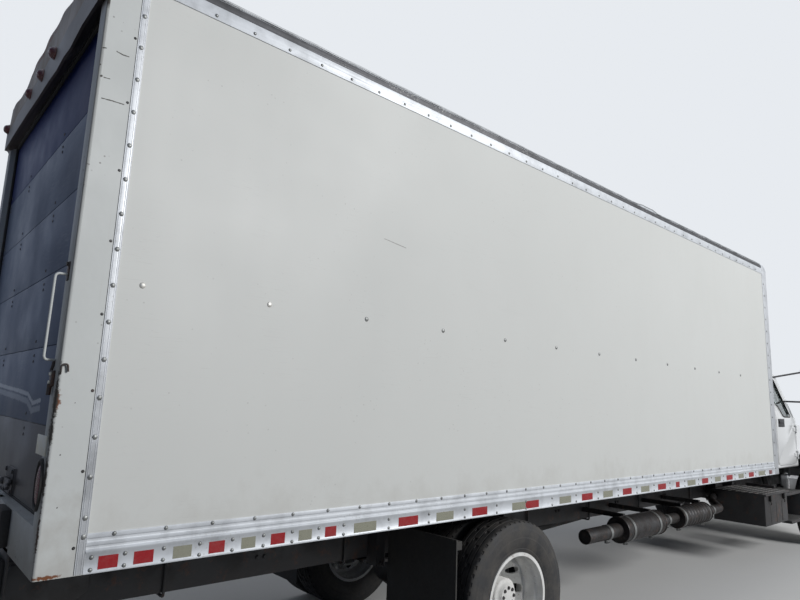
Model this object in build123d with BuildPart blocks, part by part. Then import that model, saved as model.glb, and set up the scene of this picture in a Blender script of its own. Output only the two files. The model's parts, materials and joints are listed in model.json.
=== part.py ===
from build123d import *
import os

os.makedirs("parts", exist_ok=True)

# Frame of the truck, millimetres: front faces -Y, the truck's left side is +X, the ground is Z = 0.
# A station is a distance measured forward from the rear face of the box's corner posts.
FRONT_STATION = 11076
REAR_STATION = -60
REAR_Y = (FRONT_STATION + REAR_STATION) / 2

# Cargo box
BOX_HALF_WIDTH = 1219
BOX_LENGTH = 8075
BOX_BOTTOM = 1082
RAIL_HEIGHT = 150
FLOOR_TOP = 1245
WALL = 32
PANEL_TOP = 3582
TOP_RAIL_TOP = 3653
ROOF_TOP = 3709
HEADER_TOP = 3832
POST_SIDE = 172
POST_FACE = 100
FRONT_POST_SIDE = 177
DOOR_OPENING_TOP = 3500
SILL_TOP = 1262

# Chassis
FRAME_HALF_WIDTH = 432
FRAME_TOP = 980
FRAME_FRONT = 10880
FRAME_DEPTH = 257
FRAME_FLANGE = 76
FRAME_STEEL = 8
REAR_AXLE_STATION = 2924
FRONT_AXLE_STATION = 10060

# Wheels
TYRE_RADIUS = 505
RIM_RADIUS = 298
DUAL_SPACING = 312
REAR_OUTER_WHEEL_X = 1058
REAR_INNER_WHEEL_X = REAR_OUTER_WHEEL_X - DUAL_SPACING
FRONT_WHEEL_X = 1040
KINGPIN_X = 880
SPINDLE_RADIUS = 40
BEARING_GAP = 2

# Cab and hood
CAB_HALF_WIDTH = 1045
CAB_BACK = 8300
CAB_BOTTOM = 1100
CAB_TOP = 2450
CAB_WALL = 40
COWL_STATION = 9440
DOOR_REAR = 8660
DOOR_FRONT = 9390
DOOR_INNER_X = 880
DOOR_GAP = 6
HOOD_GAP = 9
HOOD_WALL = 14
FENDER_HALF_WIDTH = 1180
ARCH_RADIUS = 575
PANE = 6


def at(station):
    """Y coordinate of a station."""
    return REAR_Y - station


def side_points(points):
    """Side view points, each a station and a height, as Y and Z."""
    return [(at(station), height) for station, height in points]


def across(station):
    """Plane square to the truck's length, facing forward: x is X and y is Z."""
    return Plane.XZ.offset(-at(station))


def save(part, name):
    part.label = name
    export_step(part, "parts/" + name + ".step")


def bar(x_low, x_high, rear, front, low, high, mode=Mode.ADD):
    """Straight block between two sides, two stations and two heights."""
    centre = ((x_low + x_high) / 2, (at(rear) + at(front)) / 2, (low + high) / 2)
    with Locations(centre):
        Box(x_high - x_low, front - rear, high - low, mode=mode)


# Frame rails: two channels, open sides facing each other
with BuildPart() as frame_rails:
    with BuildSketch(across(60)):
        rail_middle = FRAME_TOP - FRAME_DEPTH / 2
        for side in (-1, 1):
            with Locations((side * (FRAME_HALF_WIDTH - FRAME_FLANGE / 2), rail_middle)):
                Rectangle(FRAME_FLANGE, FRAME_DEPTH)
            with Locations((side * (FRAME_HALF_WIDTH - FRAME_STEEL - FRAME_FLANGE / 2), rail_middle)):
                Rectangle(FRAME_FLANGE, FRAME_DEPTH - 2 * FRAME_STEEL, mode=Mode.SUBTRACT)
    extrude(amount=FRAME_FRONT - 60)
save(frame_rails.part, "frame_rails")

# Crossmembers: channels between the webs of the rails
CROSSMEMBER_STATIONS = (300, 1380, 2460, 3400, 4480, 5560, 6640, 7720, 8760)
CROSSMEMBER_DEPTH = 180
CROSSMEMBER_FLANGE = 70
with BuildPart() as crossmembers:
    with BuildSketch(Plane.YZ.offset(-(FRAME_HALF_WIDTH - FRAME_STEEL))):
        for station in CROSSMEMBER_STATIONS:
            middle = FRAME_TOP - FRAME_STEEL - CROSSMEMBER_DEPTH / 2
            with Locations((at(station), middle)):
                Rectangle(CROSSMEMBER_FLANGE, CROSSMEMBER_DEPTH)
            with Locations((at(station) - FRAME_STEEL, middle)):
                Rectangle(
                    CROSSMEMBER_FLANGE,
                    CROSSMEMBER_DEPTH - 2 * FRAME_STEEL,
                    mode=Mode.SUBTRACT,
                )
    extrude(amount=2 * (FRAME_HALF_WIDTH - FRAME_STEEL))
save(crossmembers.part, "crossmembers")

# Box floor: planks on cross sills, and the cross sills on two long sills along the frame
SILL_PITCH = 308
SILL_DEPTH = 113
SILL_FLANGE = 57
LONG_SILL_WIDTH = 80
with BuildPart() as floor_deck:
    bar(-1178, 1178, POST_FACE, BOX_LENGTH - WALL, FLOOR_TOP - 40, FLOOR_TOP)
save(floor_deck.part, "floor_deck")

with BuildPart() as floor_sills:
    sill_low = FLOOR_TOP - 40 - SILL_DEPTH
    with BuildSketch(Plane.YZ.offset(-1178)):
        for index in range(26):
            station = 171 + index * SILL_PITCH
            with Locations((at(station), sill_low + SILL_DEPTH / 2)):
                Rectangle(SILL_FLANGE, SILL_DEPTH)
            for face in (-1, 1):
                with Locations((at(station) + face * SILL_FLANGE / 2, sill_low + SILL_DEPTH / 2)):
                    Rectangle(SILL_FLANGE - 8, SILL_DEPTH - 14, mode=Mode.SUBTRACT)
    extrude(amount=2 * 1178)
    for side in (-1, 1):
        sill_x = side * (FRAME_HALF_WIDTH - LONG_SILL_WIDTH / 2)
        with Locations((sill_x, at(4000), (FRAME_TOP + sill_low) / 2)):
            Box(LONG_SILL_WIDTH, 7800, sill_low - FRAME_TOP)
save(floor_sills.part, "floor_sills")

# Side panels of the box, one sheet each side
with BuildPart() as side_panels:
    for side in (-1, 1):
        outer = side * (BOX_HALF_WIDTH - 4)
        inner = side * (BOX_HALF_WIDTH - 4 - WALL)
        bar(
            min(outer, inner),
            max(outer, inner),
            POST_SIDE,
            BOX_LENGTH - FRONT_POST_SIDE,
            BOX_BOTTOM + RAIL_HEIGHT,
            PANEL_TOP,
        )
save(side_panels.part, "side_panels")

# Lower rails: extrusions with a proud ledge, a ribbed band above it and a lip at the bottom.
# Section points: depth in from the side plane, height above the rail's bottom.
LOWER_RAIL_SECTION = (
    (-2, 0),
    (-2, 8),
    (0, 11),
    (0, 72),
    (-5, 78),
    (-5, 86),
    (3, 92),
    (3, 102),
    (0, 104),
    (0, 116),
    (3, 118),
    (3, 130),
    (0, 132),
    (0, 150),
    (41, 150),
    (41, 120),
    (12, 116),
    (12, 12),
    (41, 8),
    (41, 0),
)
with BuildPart() as lower_rails:
    with BuildSketch(across(POST_SIDE)):
        for side in (-1, 1):
            with BuildLine():
                Polyline(
                    *[
                        (side * (BOX_HALF_WIDTH - depth), BOX_BOTTOM + height)
                        for depth, height in LOWER_RAIL_SECTION
                    ],
                    close=True,
                )
            make_face()
    extrude(amount=BOX_LENGTH - FRONT_POST_SIDE - POST_SIDE)
save(lower_rails.part, "lower_rails")

# Top rails: flat riveted band, a recessed dark strip and the roof lip's seat
TOP_RAIL_SECTION = (
    (0, PANEL_TOP),
    (0, TOP_RAIL_TOP),
    (6, TOP_RAIL_TOP + 3),
    (6, ROOF_TOP - 12),
    (60, ROOF_TOP - 12),
    (60, ROOF_TOP - 24),
    (20, ROOF_TOP - 24),
    (20, TOP_RAIL_TOP - 20),
    (36, TOP_RAIL_TOP - 30),
    (36, PANEL_TOP),
)
with BuildPart() as top_rails:
    with BuildSketch(across(POST_SIDE)):
        for side in (-1, 1):
            with BuildLine():
                Polyline(
                    *[(side * (BOX_HALF_WIDTH - depth), height) for depth, height in TOP_RAIL_SECTION],
                    close=True,
                )
            make_face()
    extrude(amount=BOX_LENGTH - FRONT_POST_SIDE - POST_SIDE)
save(top_rails.part, "top_rails")

# Roof sheet, curved down over the front cap
CAP_START = BOX_LENGTH - FRONT_POST_SIDE
CAP_DROP = 85
with BuildPart() as roof:
    with BuildSketch(Plane.YZ.offset(-(BOX_HALF_WIDTH - 3))):
        with BuildLine():
            rear_end = (at(110), ROOF_TOP)
            bend = (at(CAP_START), ROOF_TOP)
            nose = (at(BOX_LENGTH - 2), ROOF_TOP - CAP_DROP)
            Line(rear_end, bend)
            TangentArc(bend, (at(8010), ROOF_TOP - 22), tangent=(-1, 0))
            Line((at(8010), ROOF_TOP - 22), nose)
            Line(nose, (at(BOX_LENGTH - 14), ROOF_TOP - CAP_DROP))
            Line((at(BOX_LENGTH - 14), ROOF_TOP - CAP_DROP), (at(8004), ROOF_TOP - 34))
            Line((at(8004), ROOF_TOP - 34), (at(CAP_START), ROOF_TOP - 12))
            Line((at(CAP_START), ROOF_TOP - 12), (at(110), ROOF_TOP - 12))
            Line((at(110), ROOF_TOP - 12), rear_end)
        make_face()
    extrude(amount=2 * (BOX_HALF_WIDTH - 3))
save(roof.part, "roof")

# Front wall and its two corner posts, rounded in plan
FRONT_WALL_TOP = ROOF_TOP - CAP_DROP
with BuildPart() as front_wall:
    bar(-1119, 1119, BOX_LENGTH - WALL, BOX_LENGTH - 2, BOX_BOTTOM, FRONT_WALL_TOP)
save(front_wall.part, "front_wall")

FRONT_POST_ROUND = 38
with BuildPart() as front_posts:
    with BuildSketch(Plane.XY.offset(BOX_BOTTOM)):
        for side in (-1, 1):
            with BuildLine():
                FilletPolyline(
                    (side * BOX_HALF_WIDTH, at(BOX_LENGTH - FRONT_POST_SIDE)),
                    (side * BOX_HALF_WIDTH, at(BOX_LENGTH)),
                    (side * 1119, at(BOX_LENGTH)),
                    (side * 1119, at(BOX_LENGTH - WALL)),
                    (side * (BOX_HALF_WIDTH - WALL - 4), at(BOX_LENGTH - WALL)),
                    (side * (BOX_HALF_WIDTH - WALL - 4), at(BOX_LENGTH - FRONT_POST_SIDE)),
                    radius=(0, FRONT_POST_ROUND, 0, 0, 0, 0),
                    close=True,
                )
            make_face()
    extrude(amount=FRONT_WALL_TOP - BOX_BOTTOM)
    for side in (-1, 1):
        with BuildSketch(Plane.YZ.offset(side * (BOX_HALF_WIDTH - 3))):
            with BuildLine():
                Polyline(
                    *side_points(
                        (
                            (CAP_START, FRONT_WALL_TOP),
                            (CAP_START, ROOF_TOP - 12),
                            (8004, ROOF_TOP - 34),
                            (BOX_LENGTH - 14, ROOF_TOP - CAP_DROP),
                        )
                    ),
                    close=True,
                )
            make_face()
        extrude(amount=-side * (WALL + 1))
save(front_posts.part, "front_posts")

# Rear frame: two steel posts, the sill and the header over the door. The header's face stands
# proud of the posts, and its underside slopes up towards the door.
HEADER_FACE = -26
HEADER_LOW = 3457
HEADER_SEAM = 3617
HEADER_INNER = 46
with BuildPart() as rear_frame:
    with BuildSketch(Plane.XY.offset(BOX_BOTTOM)):
        for side in (-1, 1):
            with BuildLine():
                FilletPolyline(
                    (side * BOX_HALF_WIDTH, at(POST_SIDE)),
                    (side * BOX_HALF_WIDTH, at(0)),
                    (side * (BOX_HALF_WIDTH - POST_FACE), at(0)),
                    (side * (BOX_HALF_WIDTH - POST_FACE), at(POST_FACE)),
                    (side * (BOX_HALF_WIDTH - WALL - 4), at(POST_FACE)),
                    (side * (BOX_HALF_WIDTH - WALL - 4), at(POST_SIDE)),
                    radius=(0, 12, 6, 0, 0, 0),
                    close=True,
                )
            make_face()
    extrude(amount=ROOF_TOP - 12 - BOX_BOTTOM)
    bar(-1140, 1140, 0, POST_FACE, BOX_BOTTOM, SILL_TOP)
    with BuildSketch(Plane.YZ.offset(-BOX_HALF_WIDTH)):
        with BuildLine():
            Polyline(
                *side_points(
                    (
                        (HEADER_FACE + 12, HEADER_LOW),
                        (HEADER_FACE, HEADER_LOW),
                        (HEADER_FACE, HEADER_SEAM),
                        (HEADER_FACE + 8, HEADER_SEAM + 4),
                        (HEADER_FACE + 8, HEADER_TOP - 30),
                        (20, HEADER_TOP),
                        (60, HEADER_TOP),
                        (110, ROOF_TOP),
                        (110, ROOF_TOP - 60),
                        (HEADER_INNER, DOOR_OPENING_TOP + 60),
                        (HEADER_INNER, DOOR_OPENING_TOP),
                    )
                ),
                close=True,
            )
        make_face()
    extrude(amount=2 * BOX_HALF_WIDTH)
save(rear_frame.part, "rear_frame")

# Sectional rear door: six panels with tongue and groove joints and a lock on the lowest.
# The heights of the panels' joints, from the sill to behind the header.
DOOR_SEAMS = (SILL_TOP, 1625, 1973, 2330, 2688, 3062, DOOR_OPENING_TOP + 40)
LOCK_X = -300
LOCK_HEIGHT = 1335
DOOR_PANEL = 22
DOOR_HALF_WIDTH = 1116
DOOR_REAR_FACE = 50
with BuildPart() as rear_door:
    for low, high in zip(DOOR_SEAMS, DOOR_SEAMS[1:]):
        bar(
            -DOOR_HALF_WIDTH,
            DOOR_HALF_WIDTH,
            DOOR_REAR_FACE,
            DOOR_REAR_FACE + DOOR_PANEL,
            low + 2,
            high - 2,
        )
    for seam in DOOR_SEAMS[1:-1]:
        bar(-DOOR_HALF_WIDTH, DOOR_HALF_WIDTH, DOOR_REAR_FACE + 8, DOOR_REAR_FACE + 14, seam - 3, seam + 3)
    bar(LOCK_X - 90, LOCK_X + 90, DOOR_REAR_FACE - 10, DOOR_REAR_FACE, LOCK_HEIGHT - 60, LOCK_HEIGHT + 60)
    with Locations(Location((LOCK_X, at(DOOR_REAR_FACE - 18), LOCK_HEIGHT), (90, 0, 0))):
        Cylinder(16, 20)
    bar(
        LOCK_X - 140,
        LOCK_X + 24,
        DOOR_REAR_FACE - 36,
        DOOR_REAR_FACE - 26,
        LOCK_HEIGHT - 16,
        LOCK_HEIGHT + 16,
    )
save(rear_door.part, "rear_door")

# Grab handle on the right-hand post: a bent rod
HANDLE_RADIUS = 5
with BuildPart() as grab_handle:
    with BuildLine():
        FilletPolyline(
            (-1172, at(0), BOX_BOTTOM + 1154),
            (-1172, at(-47), BOX_BOTTOM + 1154),
            (-1160, at(-47), BOX_BOTTOM + 811),
            (-1132, at(-2.8), BOX_BOTTOM + 811),
            radius=16,
        )
    with BuildSketch(Plane((-1172, at(0), BOX_BOTTOM + 1154), z_dir=(0, 1, 0))):
        Circle(HANDLE_RADIUS)
    sweep()
save(grab_handle.part, "grab_handle")

# Rear lamps: five round ones on the bent header and an oval one on each post
HEADER_LAMPS = ((-1162, 3590), (-287, 3592), (14, 3584), (357, 3600), (1160, 3630))
with BuildPart() as rear_lamps:
    with BuildSketch(across(HEADER_FACE)):
        for x, height in HEADER_LAMPS:
            with Locations((x, height)):
                Circle(34)
    extrude(amount=-30)
    with BuildSketch(across(0)):
        for side in (-1, 1):
            with Locations((side * 1150, BOX_BOTTOM + 335)):
                SlotOverall(200, 100, rotation=90)
    extrude(amount=-14)
save(rear_lamps.part, "rear_lamps")

# Underride guard: a cross tube on two drop plates
GUARD_BOTTOM = 480
with BuildPart() as underride_guard:
    bar(-1100, 1100, REAR_STATION, REAR_STATION + 100, GUARD_BOTTOM, GUARD_BOTTOM + 100)
    with BuildSketch(Plane.YZ.offset(-(FRAME_HALF_WIDTH + 12))):
        with BuildLine():
            Polyline(
                *side_points(((-40, 540), (40, 540), (420, 800), (420, 965), (70, 965), (-20, 700))),
                close=True,
            )
        make_face()
    extrude(amount=12)
    with BuildSketch(Plane.YZ.offset(FRAME_HALF_WIDTH)):
        with BuildLine():
            Polyline(
                *side_points(((-40, 540), (40, 540), (420, 800), (420, 965), (70, 965), (-20, 700))),
                close=True,
            )
        make_face()
    extrude(amount=12)
save(underride_guard.part, "underride_guard")

# Mud flaps behind the rear wheels, each hung from a bracket on the frame
FLAP_STATION = REAR_AXLE_STATION - 640
with BuildPart() as mud_flaps:
    for side in (-1, 1):
        low_x, high_x = sorted((side * 560, side * 1195))
        bar(low_x, high_x, FLAP_STATION, FLAP_STATION + 10, 300, 960)
        low_x, high_x = sorted((side * FRAME_HALF_WIDTH, side * 1195))
        bar(low_x, high_x, FLAP_STATION + 10, FLAP_STATION + 50, 900, 950)
save(mud_flaps.part, "mud_flaps")

# Leaf springs: a pack of leaves on each side of each axle, with hangers on the frame.
# Columns: axle station, spring centre X, half length, leaves, height of the top leaf over the axle.
SPRINGS = (
    (REAR_AXLE_STATION, 490, 680, 5, 660),
    (FRONT_AXLE_STATION, 392, 640, 3, 640),
)
SPRING_WIDTH = 70
LEAF = 16
with BuildPart() as leaf_springs:
    for axle_station, spring_x, half_length, leaves, top in SPRINGS:
        for side in (-1, 1):
            with BuildSketch(Plane.YZ.offset(side * spring_x - SPRING_WIDTH / 2)):
                for leaf in range(leaves):
                    reach = half_length * (1 - 0.17 * leaf)
                    rise = 62 * (reach / half_length) ** 2
                    low = top - (leaf + 1) * LEAF
                    with BuildLine():
                        lower = ThreePointArc(
                            (at(axle_station) - reach, low + rise),
                            (at(axle_station), low),
                            (at(axle_station) + reach, low + rise),
                        )
                        upper = ThreePointArc(
                            (at(axle_station) - reach, low + rise + LEAF),
                            (at(axle_station), low + LEAF),
                            (at(axle_station) + reach, low + rise + LEAF),
                        )
                        Line(lower @ 0, upper @ 0)
                        Line(lower @ 1, upper @ 1)
                    make_face()
            extrude(amount=SPRING_WIDTH)
            for end in (-1, 1):
                eye = axle_station + end * half_length
                hanger_low, hanger_high = sorted((side * (FRAME_HALF_WIDTH - 60), side * (spring_x + 40)))
                if spring_x > FRAME_HALF_WIDTH:
                    hanger_low, hanger_high = sorted((side * FRAME_HALF_WIDTH, side * (spring_x + 40)))
                    hanger_top = FRAME_TOP - 60
                else:
                    hanger_top = FRAME_TOP - FRAME_DEPTH
                bar(hanger_low, hanger_high, eye - 40, eye + 40, top + 20, hanger_top)
            clamp_low, clamp_high = sorted((side * (spring_x - 45), side * (spring_x + 45)))
            bar(clamp_low, clamp_high, axle_station - 60, axle_station + 60, top - 1, top + 18)
save(leaf_springs.part, "leaf_springs")

# Rear axle: housing with the differential bowl, spring seats and a spindle into each hub
REAR_SPRING_X = 490
with BuildPart() as rear_axle:
    with BuildSketch(Plane.YZ.offset(-600)):
        with Locations((at(REAR_AXLE_STATION), TYRE_RADIUS)):
            Circle(65)
    extrude(amount=1200)
    with BuildSketch(Plane.YZ.offset(-1030)):
        with Locations((at(REAR_AXLE_STATION), TYRE_RADIUS)):
            Circle(SPINDLE_RADIUS)
    extrude(amount=2060)
    with Locations((0, at(REAR_AXLE_STATION), TYRE_RADIUS)):
        Sphere(205)
    with Locations(Location((0, at(REAR_AXLE_STATION + 230), TYRE_RADIUS), (90, 0, 0))):
        Cone(60, 120, 160)
    for side in (-1, 1):
        low_x, high_x = sorted((side * (REAR_SPRING_X - 45), side * (REAR_SPRING_X + 45)))
        bar(low_x, high_x, REAR_AXLE_STATION - 60, REAR_AXLE_STATION + 60, TYRE_RADIUS, 660 - 5 * LEAF)
save(rear_axle.part, "rear_axle")

# Front axle: dropped beam with a kingpin boss at each end
BEAM_LOW = 420
with BuildPart() as front_axle:
    with BuildSketch(across(FRONT_AXLE_STATION - 45)):
        with BuildLine():
            FilletPolyline(
                (-KINGPIN_X, 455),
                (-760, 455),
                (-620, BEAM_LOW),
                (620, BEAM_LOW),
                (760, 455),
                (KINGPIN_X, 455),
                (KINGPIN_X, 555),
                (720, 555),
                (600, BEAM_LOW + 110),
                (-600, BEAM_LOW + 110),
                (-720, 555),
                (-KINGPIN_X, 555),
                radius=(0, 60, 60, 60, 60, 0, 0, 60, 60, 60, 60, 0),
                close=True,
            )
        make_face()
    extrude(amount=90)
    with BuildSketch(Plane.XY.offset(455)):
        for side in (-1, 1):
            with Locations((side * KINGPIN_X, at(FRONT_AXLE_STATION))):
                Circle(45)
    extrude(amount=100)
    for side in (-1, 1):
        low_x, high_x = sorted((side * 349, side * 439))
        bar(
            low_x,
            high_x,
            FRONT_AXLE_STATION - 60,
            FRONT_AXLE_STATION + 60,
            BEAM_LOW + 100,
            640 - 3 * LEAF,
        )
    with BuildSketch(Plane.XY.offset(400)):
        for side in (-1, 1):
            with Locations((side * KINGPIN_X, at(FRONT_AXLE_STATION))):
                Circle(20)
    extrude(amount=210)
save(front_axle.part, "front_axle")


def knuckle(side):
    """Steering knuckle: two ears round the kingpin and the spindle for the front wheel."""
    with BuildPart() as body:
        with BuildSketch(Plane.XY.offset(400)):
            with Locations((side * KINGPIN_X, at(FRONT_AXLE_STATION))):
                Circle(44)
            with Locations((side * (KINGPIN_X + 40), at(FRONT_AXLE_STATION))):
                Rectangle(60, 80)
            with Locations((side * KINGPIN_X, at(FRONT_AXLE_STATION))):
                Circle(20 + BEARING_GAP, mode=Mode.SUBTRACT)
        extrude(amount=48)
        with BuildSketch(Plane.XY.offset(562)):
            with Locations((side * KINGPIN_X, at(FRONT_AXLE_STATION))):
                Circle(44)
            with Locations((side * (KINGPIN_X + 40), at(FRONT_AXLE_STATION))):
                Rectangle(60, 80)
            with Locations((side * KINGPIN_X, at(FRONT_AXLE_STATION))):
                Circle(20 + BEARING_GAP, mode=Mode.SUBTRACT)
        extrude(amount=48)
        low_x, high_x = sorted((side * (KINGPIN_X + 52), side * (KINGPIN_X + 80)))
        bar(low_x, high_x, FRONT_AXLE_STATION - 50, FRONT_AXLE_STATION + 50, 400, 610)
        spindle_start, spindle_end = sorted((side * (KINGPIN_X + 60), side * (FRONT_WHEEL_X + 50)))
        with BuildSketch(Plane.YZ.offset(spindle_start)):
            with Locations((at(FRONT_AXLE_STATION), TYRE_RADIUS)):
                Circle(SPINDLE_RADIUS)
        extrude(amount=spindle_end - spindle_start)
    return body.part


# Tyre section. Columns: distance along the axle from the tyre's middle, radius.
TYRE_SECTION = (
    (-107, 284),
    (-107, RIM_RADIUS + 3),
    (-131, 400),
    (-122, 470),
    (-98, TYRE_RADIUS - 3),
    (98, TYRE_RADIUS - 3),
    (122, 470),
    (131, 400),
    (107, RIM_RADIUS + 3),
    (107, 284),
)


def tyre(x, station):
    """One tyre: bulging sidewalls, round shoulders and a slightly crowned tread."""
    with BuildPart() as body:
        with BuildSketch(Plane.XY.offset(TYRE_RADIUS)):
            with BuildLine():
                points = [(x + across_x, at(station) + radius) for across_x, radius in TYRE_SECTION]
                Line(points[0], points[1])
                ThreePointArc(points[1], points[2], points[3])
                Line(points[3], points[4])
                ThreePointArc(points[4], (x, at(station) + TYRE_RADIUS), points[5])
                Line(points[5], points[6])
                ThreePointArc(points[6], points[7], points[8])
                Line(points[8], points[9])
                Line(points[9], points[0])
            make_face()
        revolve(axis=Axis((x, at(station), TYRE_RADIUS), (1, 0, 0)))
    return body.part


# Steel wheel section. Columns: distance outward from the rim's middle, radius.
RIM_SECTION = (
    (-115, RIM_RADIUS),
    (-107, RIM_RADIUS),
    (-107, 284),
    (-62, 278),
    (-46, 264),
    (46, 264),
    (62, 278),
    (107, 284),
    (107, RIM_RADIUS),
    (115, RIM_RADIUS),
    (115, 276),
    (66, 270),
    (50, 256),
    (-50, 256),
    (-66, 270),
    (-115, 276),
)
DISC_STEEL = 12
HAND_HOLES = 10
HAND_HOLE_RADIUS = 30
HAND_HOLE_CIRCLE = 212
# Wheel discs. Columns: offsets of the bolting face and of the edge from the rim's middle, and
# how much smaller the cone's radius is on its back.
FRONT_DISC = (60, 30, 3)
REAR_DISC = (DUAL_SPACING / 2, 44, 7)


def wheel_section(x, station, outward, disc):
    """Section of one rim with its dished disc, on one side of the axle."""
    disc_face, disc_rim, back = disc
    outline = (
        (disc_rim, 258),
        (disc_rim, 236),
        (disc_face, 176),
        (disc_face, 108),
        (disc_face - DISC_STEEL, 108),
        (disc_face - DISC_STEEL, 176 - back),
        (disc_rim - DISC_STEEL, 236 - back),
        (disc_rim - DISC_STEEL, 258),
    )
    with BuildSketch() as section:
        for rows in (RIM_SECTION, outline):
            with BuildLine():
                Polyline(
                    *[(x + outward * along, at(station) + radius) for along, radius in rows],
                    close=True,
                )
            make_face()
    return section.sketch


def hub_section(x_face, station, outward, drum_reach, nose_reach, bore_reach):
    """Section of a hub on one side of the axle: a brake drum behind the disc's face, a round
    nose in front of it and a blind bore for the spindle from the drum's side."""
    bore = SPINDLE_RADIUS + BEARING_GAP
    outline = (
        (nose_reach, 0),
        (nose_reach, 72),
        (nose_reach - 22, 86),
        (nose_reach - 34, 110),
        (2, 110),
        (2, 165),
        (-10, 178),
        (-drum_reach, 178),
        (-drum_reach, 164),
        (-26, 158),
        (-26, 84),
        (20 - drum_reach, 72),
        (20 - drum_reach, bore),
        (bore_reach, bore),
        (bore_reach, 0),
    )
    with BuildSketch() as section:
        with BuildLine():
            Polyline(
                *[(x_face + outward * along, at(station) + radius) for along, radius in outline],
                close=True,
            )
        make_face()
    return section.sketch


for side, side_name in ((-1, "right"), (1, "left")):
    # Front corner: knuckle, wheel with hub, tyre
    save(knuckle(side), "knuckle_" + side_name)
    front_face = side * (FRONT_WHEEL_X + FRONT_DISC[0] - DISC_STEEL)
    with BuildPart() as front_wheel:
        with BuildSketch(Plane.XY.offset(TYRE_RADIUS)):
            add(wheel_section(side * FRONT_WHEEL_X, FRONT_AXLE_STATION, side, FRONT_DISC))
            add(hub_section(front_face, FRONT_AXLE_STATION, side, 120, 70, 10))
        revolve(axis=Axis((0, at(FRONT_AXLE_STATION), TYRE_RADIUS), (1, 0, 0)))
        with BuildSketch(Plane.YZ.offset(side * FRONT_WHEEL_X)):
            with Locations((at(FRONT_AXLE_STATION), TYRE_RADIUS)):
                with PolarLocations(HAND_HOLE_CIRCLE, HAND_HOLES):
                    Circle(HAND_HOLE_RADIUS)
        extrude(amount=100, both=True, mode=Mode.SUBTRACT)
    save(front_wheel.part, "front_wheel_" + side_name)
    save(tyre(side * FRONT_WHEEL_X, FRONT_AXLE_STATION), "front_tyre_" + side_name)
    # Rear corner: two wheels back to back on one hub, and their tyres
    rear_face = side * (REAR_INNER_WHEEL_X + REAR_DISC[0] - DISC_STEEL)
    with BuildPart() as rear_wheels:
        with BuildSketch(Plane.XY.offset(TYRE_RADIUS)):
            add(wheel_section(side * REAR_OUTER_WHEEL_X, REAR_AXLE_STATION, -side, REAR_DISC))
            add(wheel_section(side * REAR_INNER_WHEEL_X, REAR_AXLE_STATION, side, REAR_DISC))
            add(hub_section(rear_face, REAR_AXLE_STATION, side, 190, 200, 150))
        revolve(axis=Axis((0, at(REAR_AXLE_STATION), TYRE_RADIUS), (1, 0, 0)))
        with BuildSketch(Plane.YZ.offset(side * (REAR_INNER_WHEEL_X + DUAL_SPACING / 2))):
            with Locations((at(REAR_AXLE_STATION), TYRE_RADIUS)):
                with PolarLocations(HAND_HOLE_CIRCLE, HAND_HOLES):
                    Circle(HAND_HOLE_RADIUS)
        extrude(amount=DUAL_SPACING, both=True, mode=Mode.SUBTRACT)
    save(rear_wheels.part, "rear_wheels_" + side_name)
    with BuildPart() as rear_tyres:
        add(tyre(side * REAR_OUTER_WHEEL_X, REAR_AXLE_STATION))
        add(tyre(side * REAR_INNER_WHEEL_X, REAR_AXLE_STATION))
    save(rear_tyres.part, "rear_tyres_" + side_name)

# Engine with its gearbox behind, as one heavy block, and the propeller shaft
with BuildPart() as engine:
    for rear, front, width, low, high, corner in (
        (9500, 10480, 600, 690, 1440, 60),
        (9500, 9560, 640, 560, 1080, 200),
        (8880, 9500, 380, 600, 1010, 120),
    ):
        with BuildSketch(across(rear)):
            with Locations((0, (low + high) / 2)):
                RectangleRounded(width, high - low, corner)
        extrude(amount=front - rear)
save(engine.part, "engine")

SHAFT_RADIUS = 48
with BuildPart() as drive_shaft:
    for station, height in ((REAR_AXLE_STATION + 310, TYRE_RADIUS), (8850, 720)):
        with BuildSketch(across(station)):
            with Locations((0, height)):
                Circle(70)
        extrude(amount=30)
    shaft_rear = Vector(0, at(REAR_AXLE_STATION + 325), TYRE_RADIUS)
    shaft_bend = Vector(0, at(6640), 690)
    shaft_front = Vector(0, at(8865), 720)
    for start, end in ((shaft_rear, shaft_bend), (shaft_bend, shaft_front)):
        with BuildSketch(Plane(start, z_dir=(end - start))):
            Circle(SHAFT_RADIUS)
        extrude(amount=(end - start).length)
    with Locations(shaft_bend):
        Sphere(75)
    bar(-90, 90, 6600, 6680, 690, FRAME_TOP - FRAME_STEEL - CROSSMEMBER_DEPTH)
save(drive_shaft.part, "drive_shaft")

# Radiator: core in a frame, standing on the front crossmember
with BuildPart() as radiator:
    bar(-424, 424, 10560, 10640, 740, 800)
    bar(-350, 350, 10570, 10650, 800, 1440)
    bar(-320, 320, 10650, 10662, 860, 1380)
save(radiator.part, "radiator")

# Front bumper: a curved steel channel on two brackets
BUMPER_LOW = 520
BUMPER_HEIGHT = 270
BUMPER_STEEL = 10
BRACKET_STEEL = 20
TOW_EYE_STATION = 10987
TOW_EYE_HEIGHT = 482
TOW_EYE_RADIUS = 20
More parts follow.
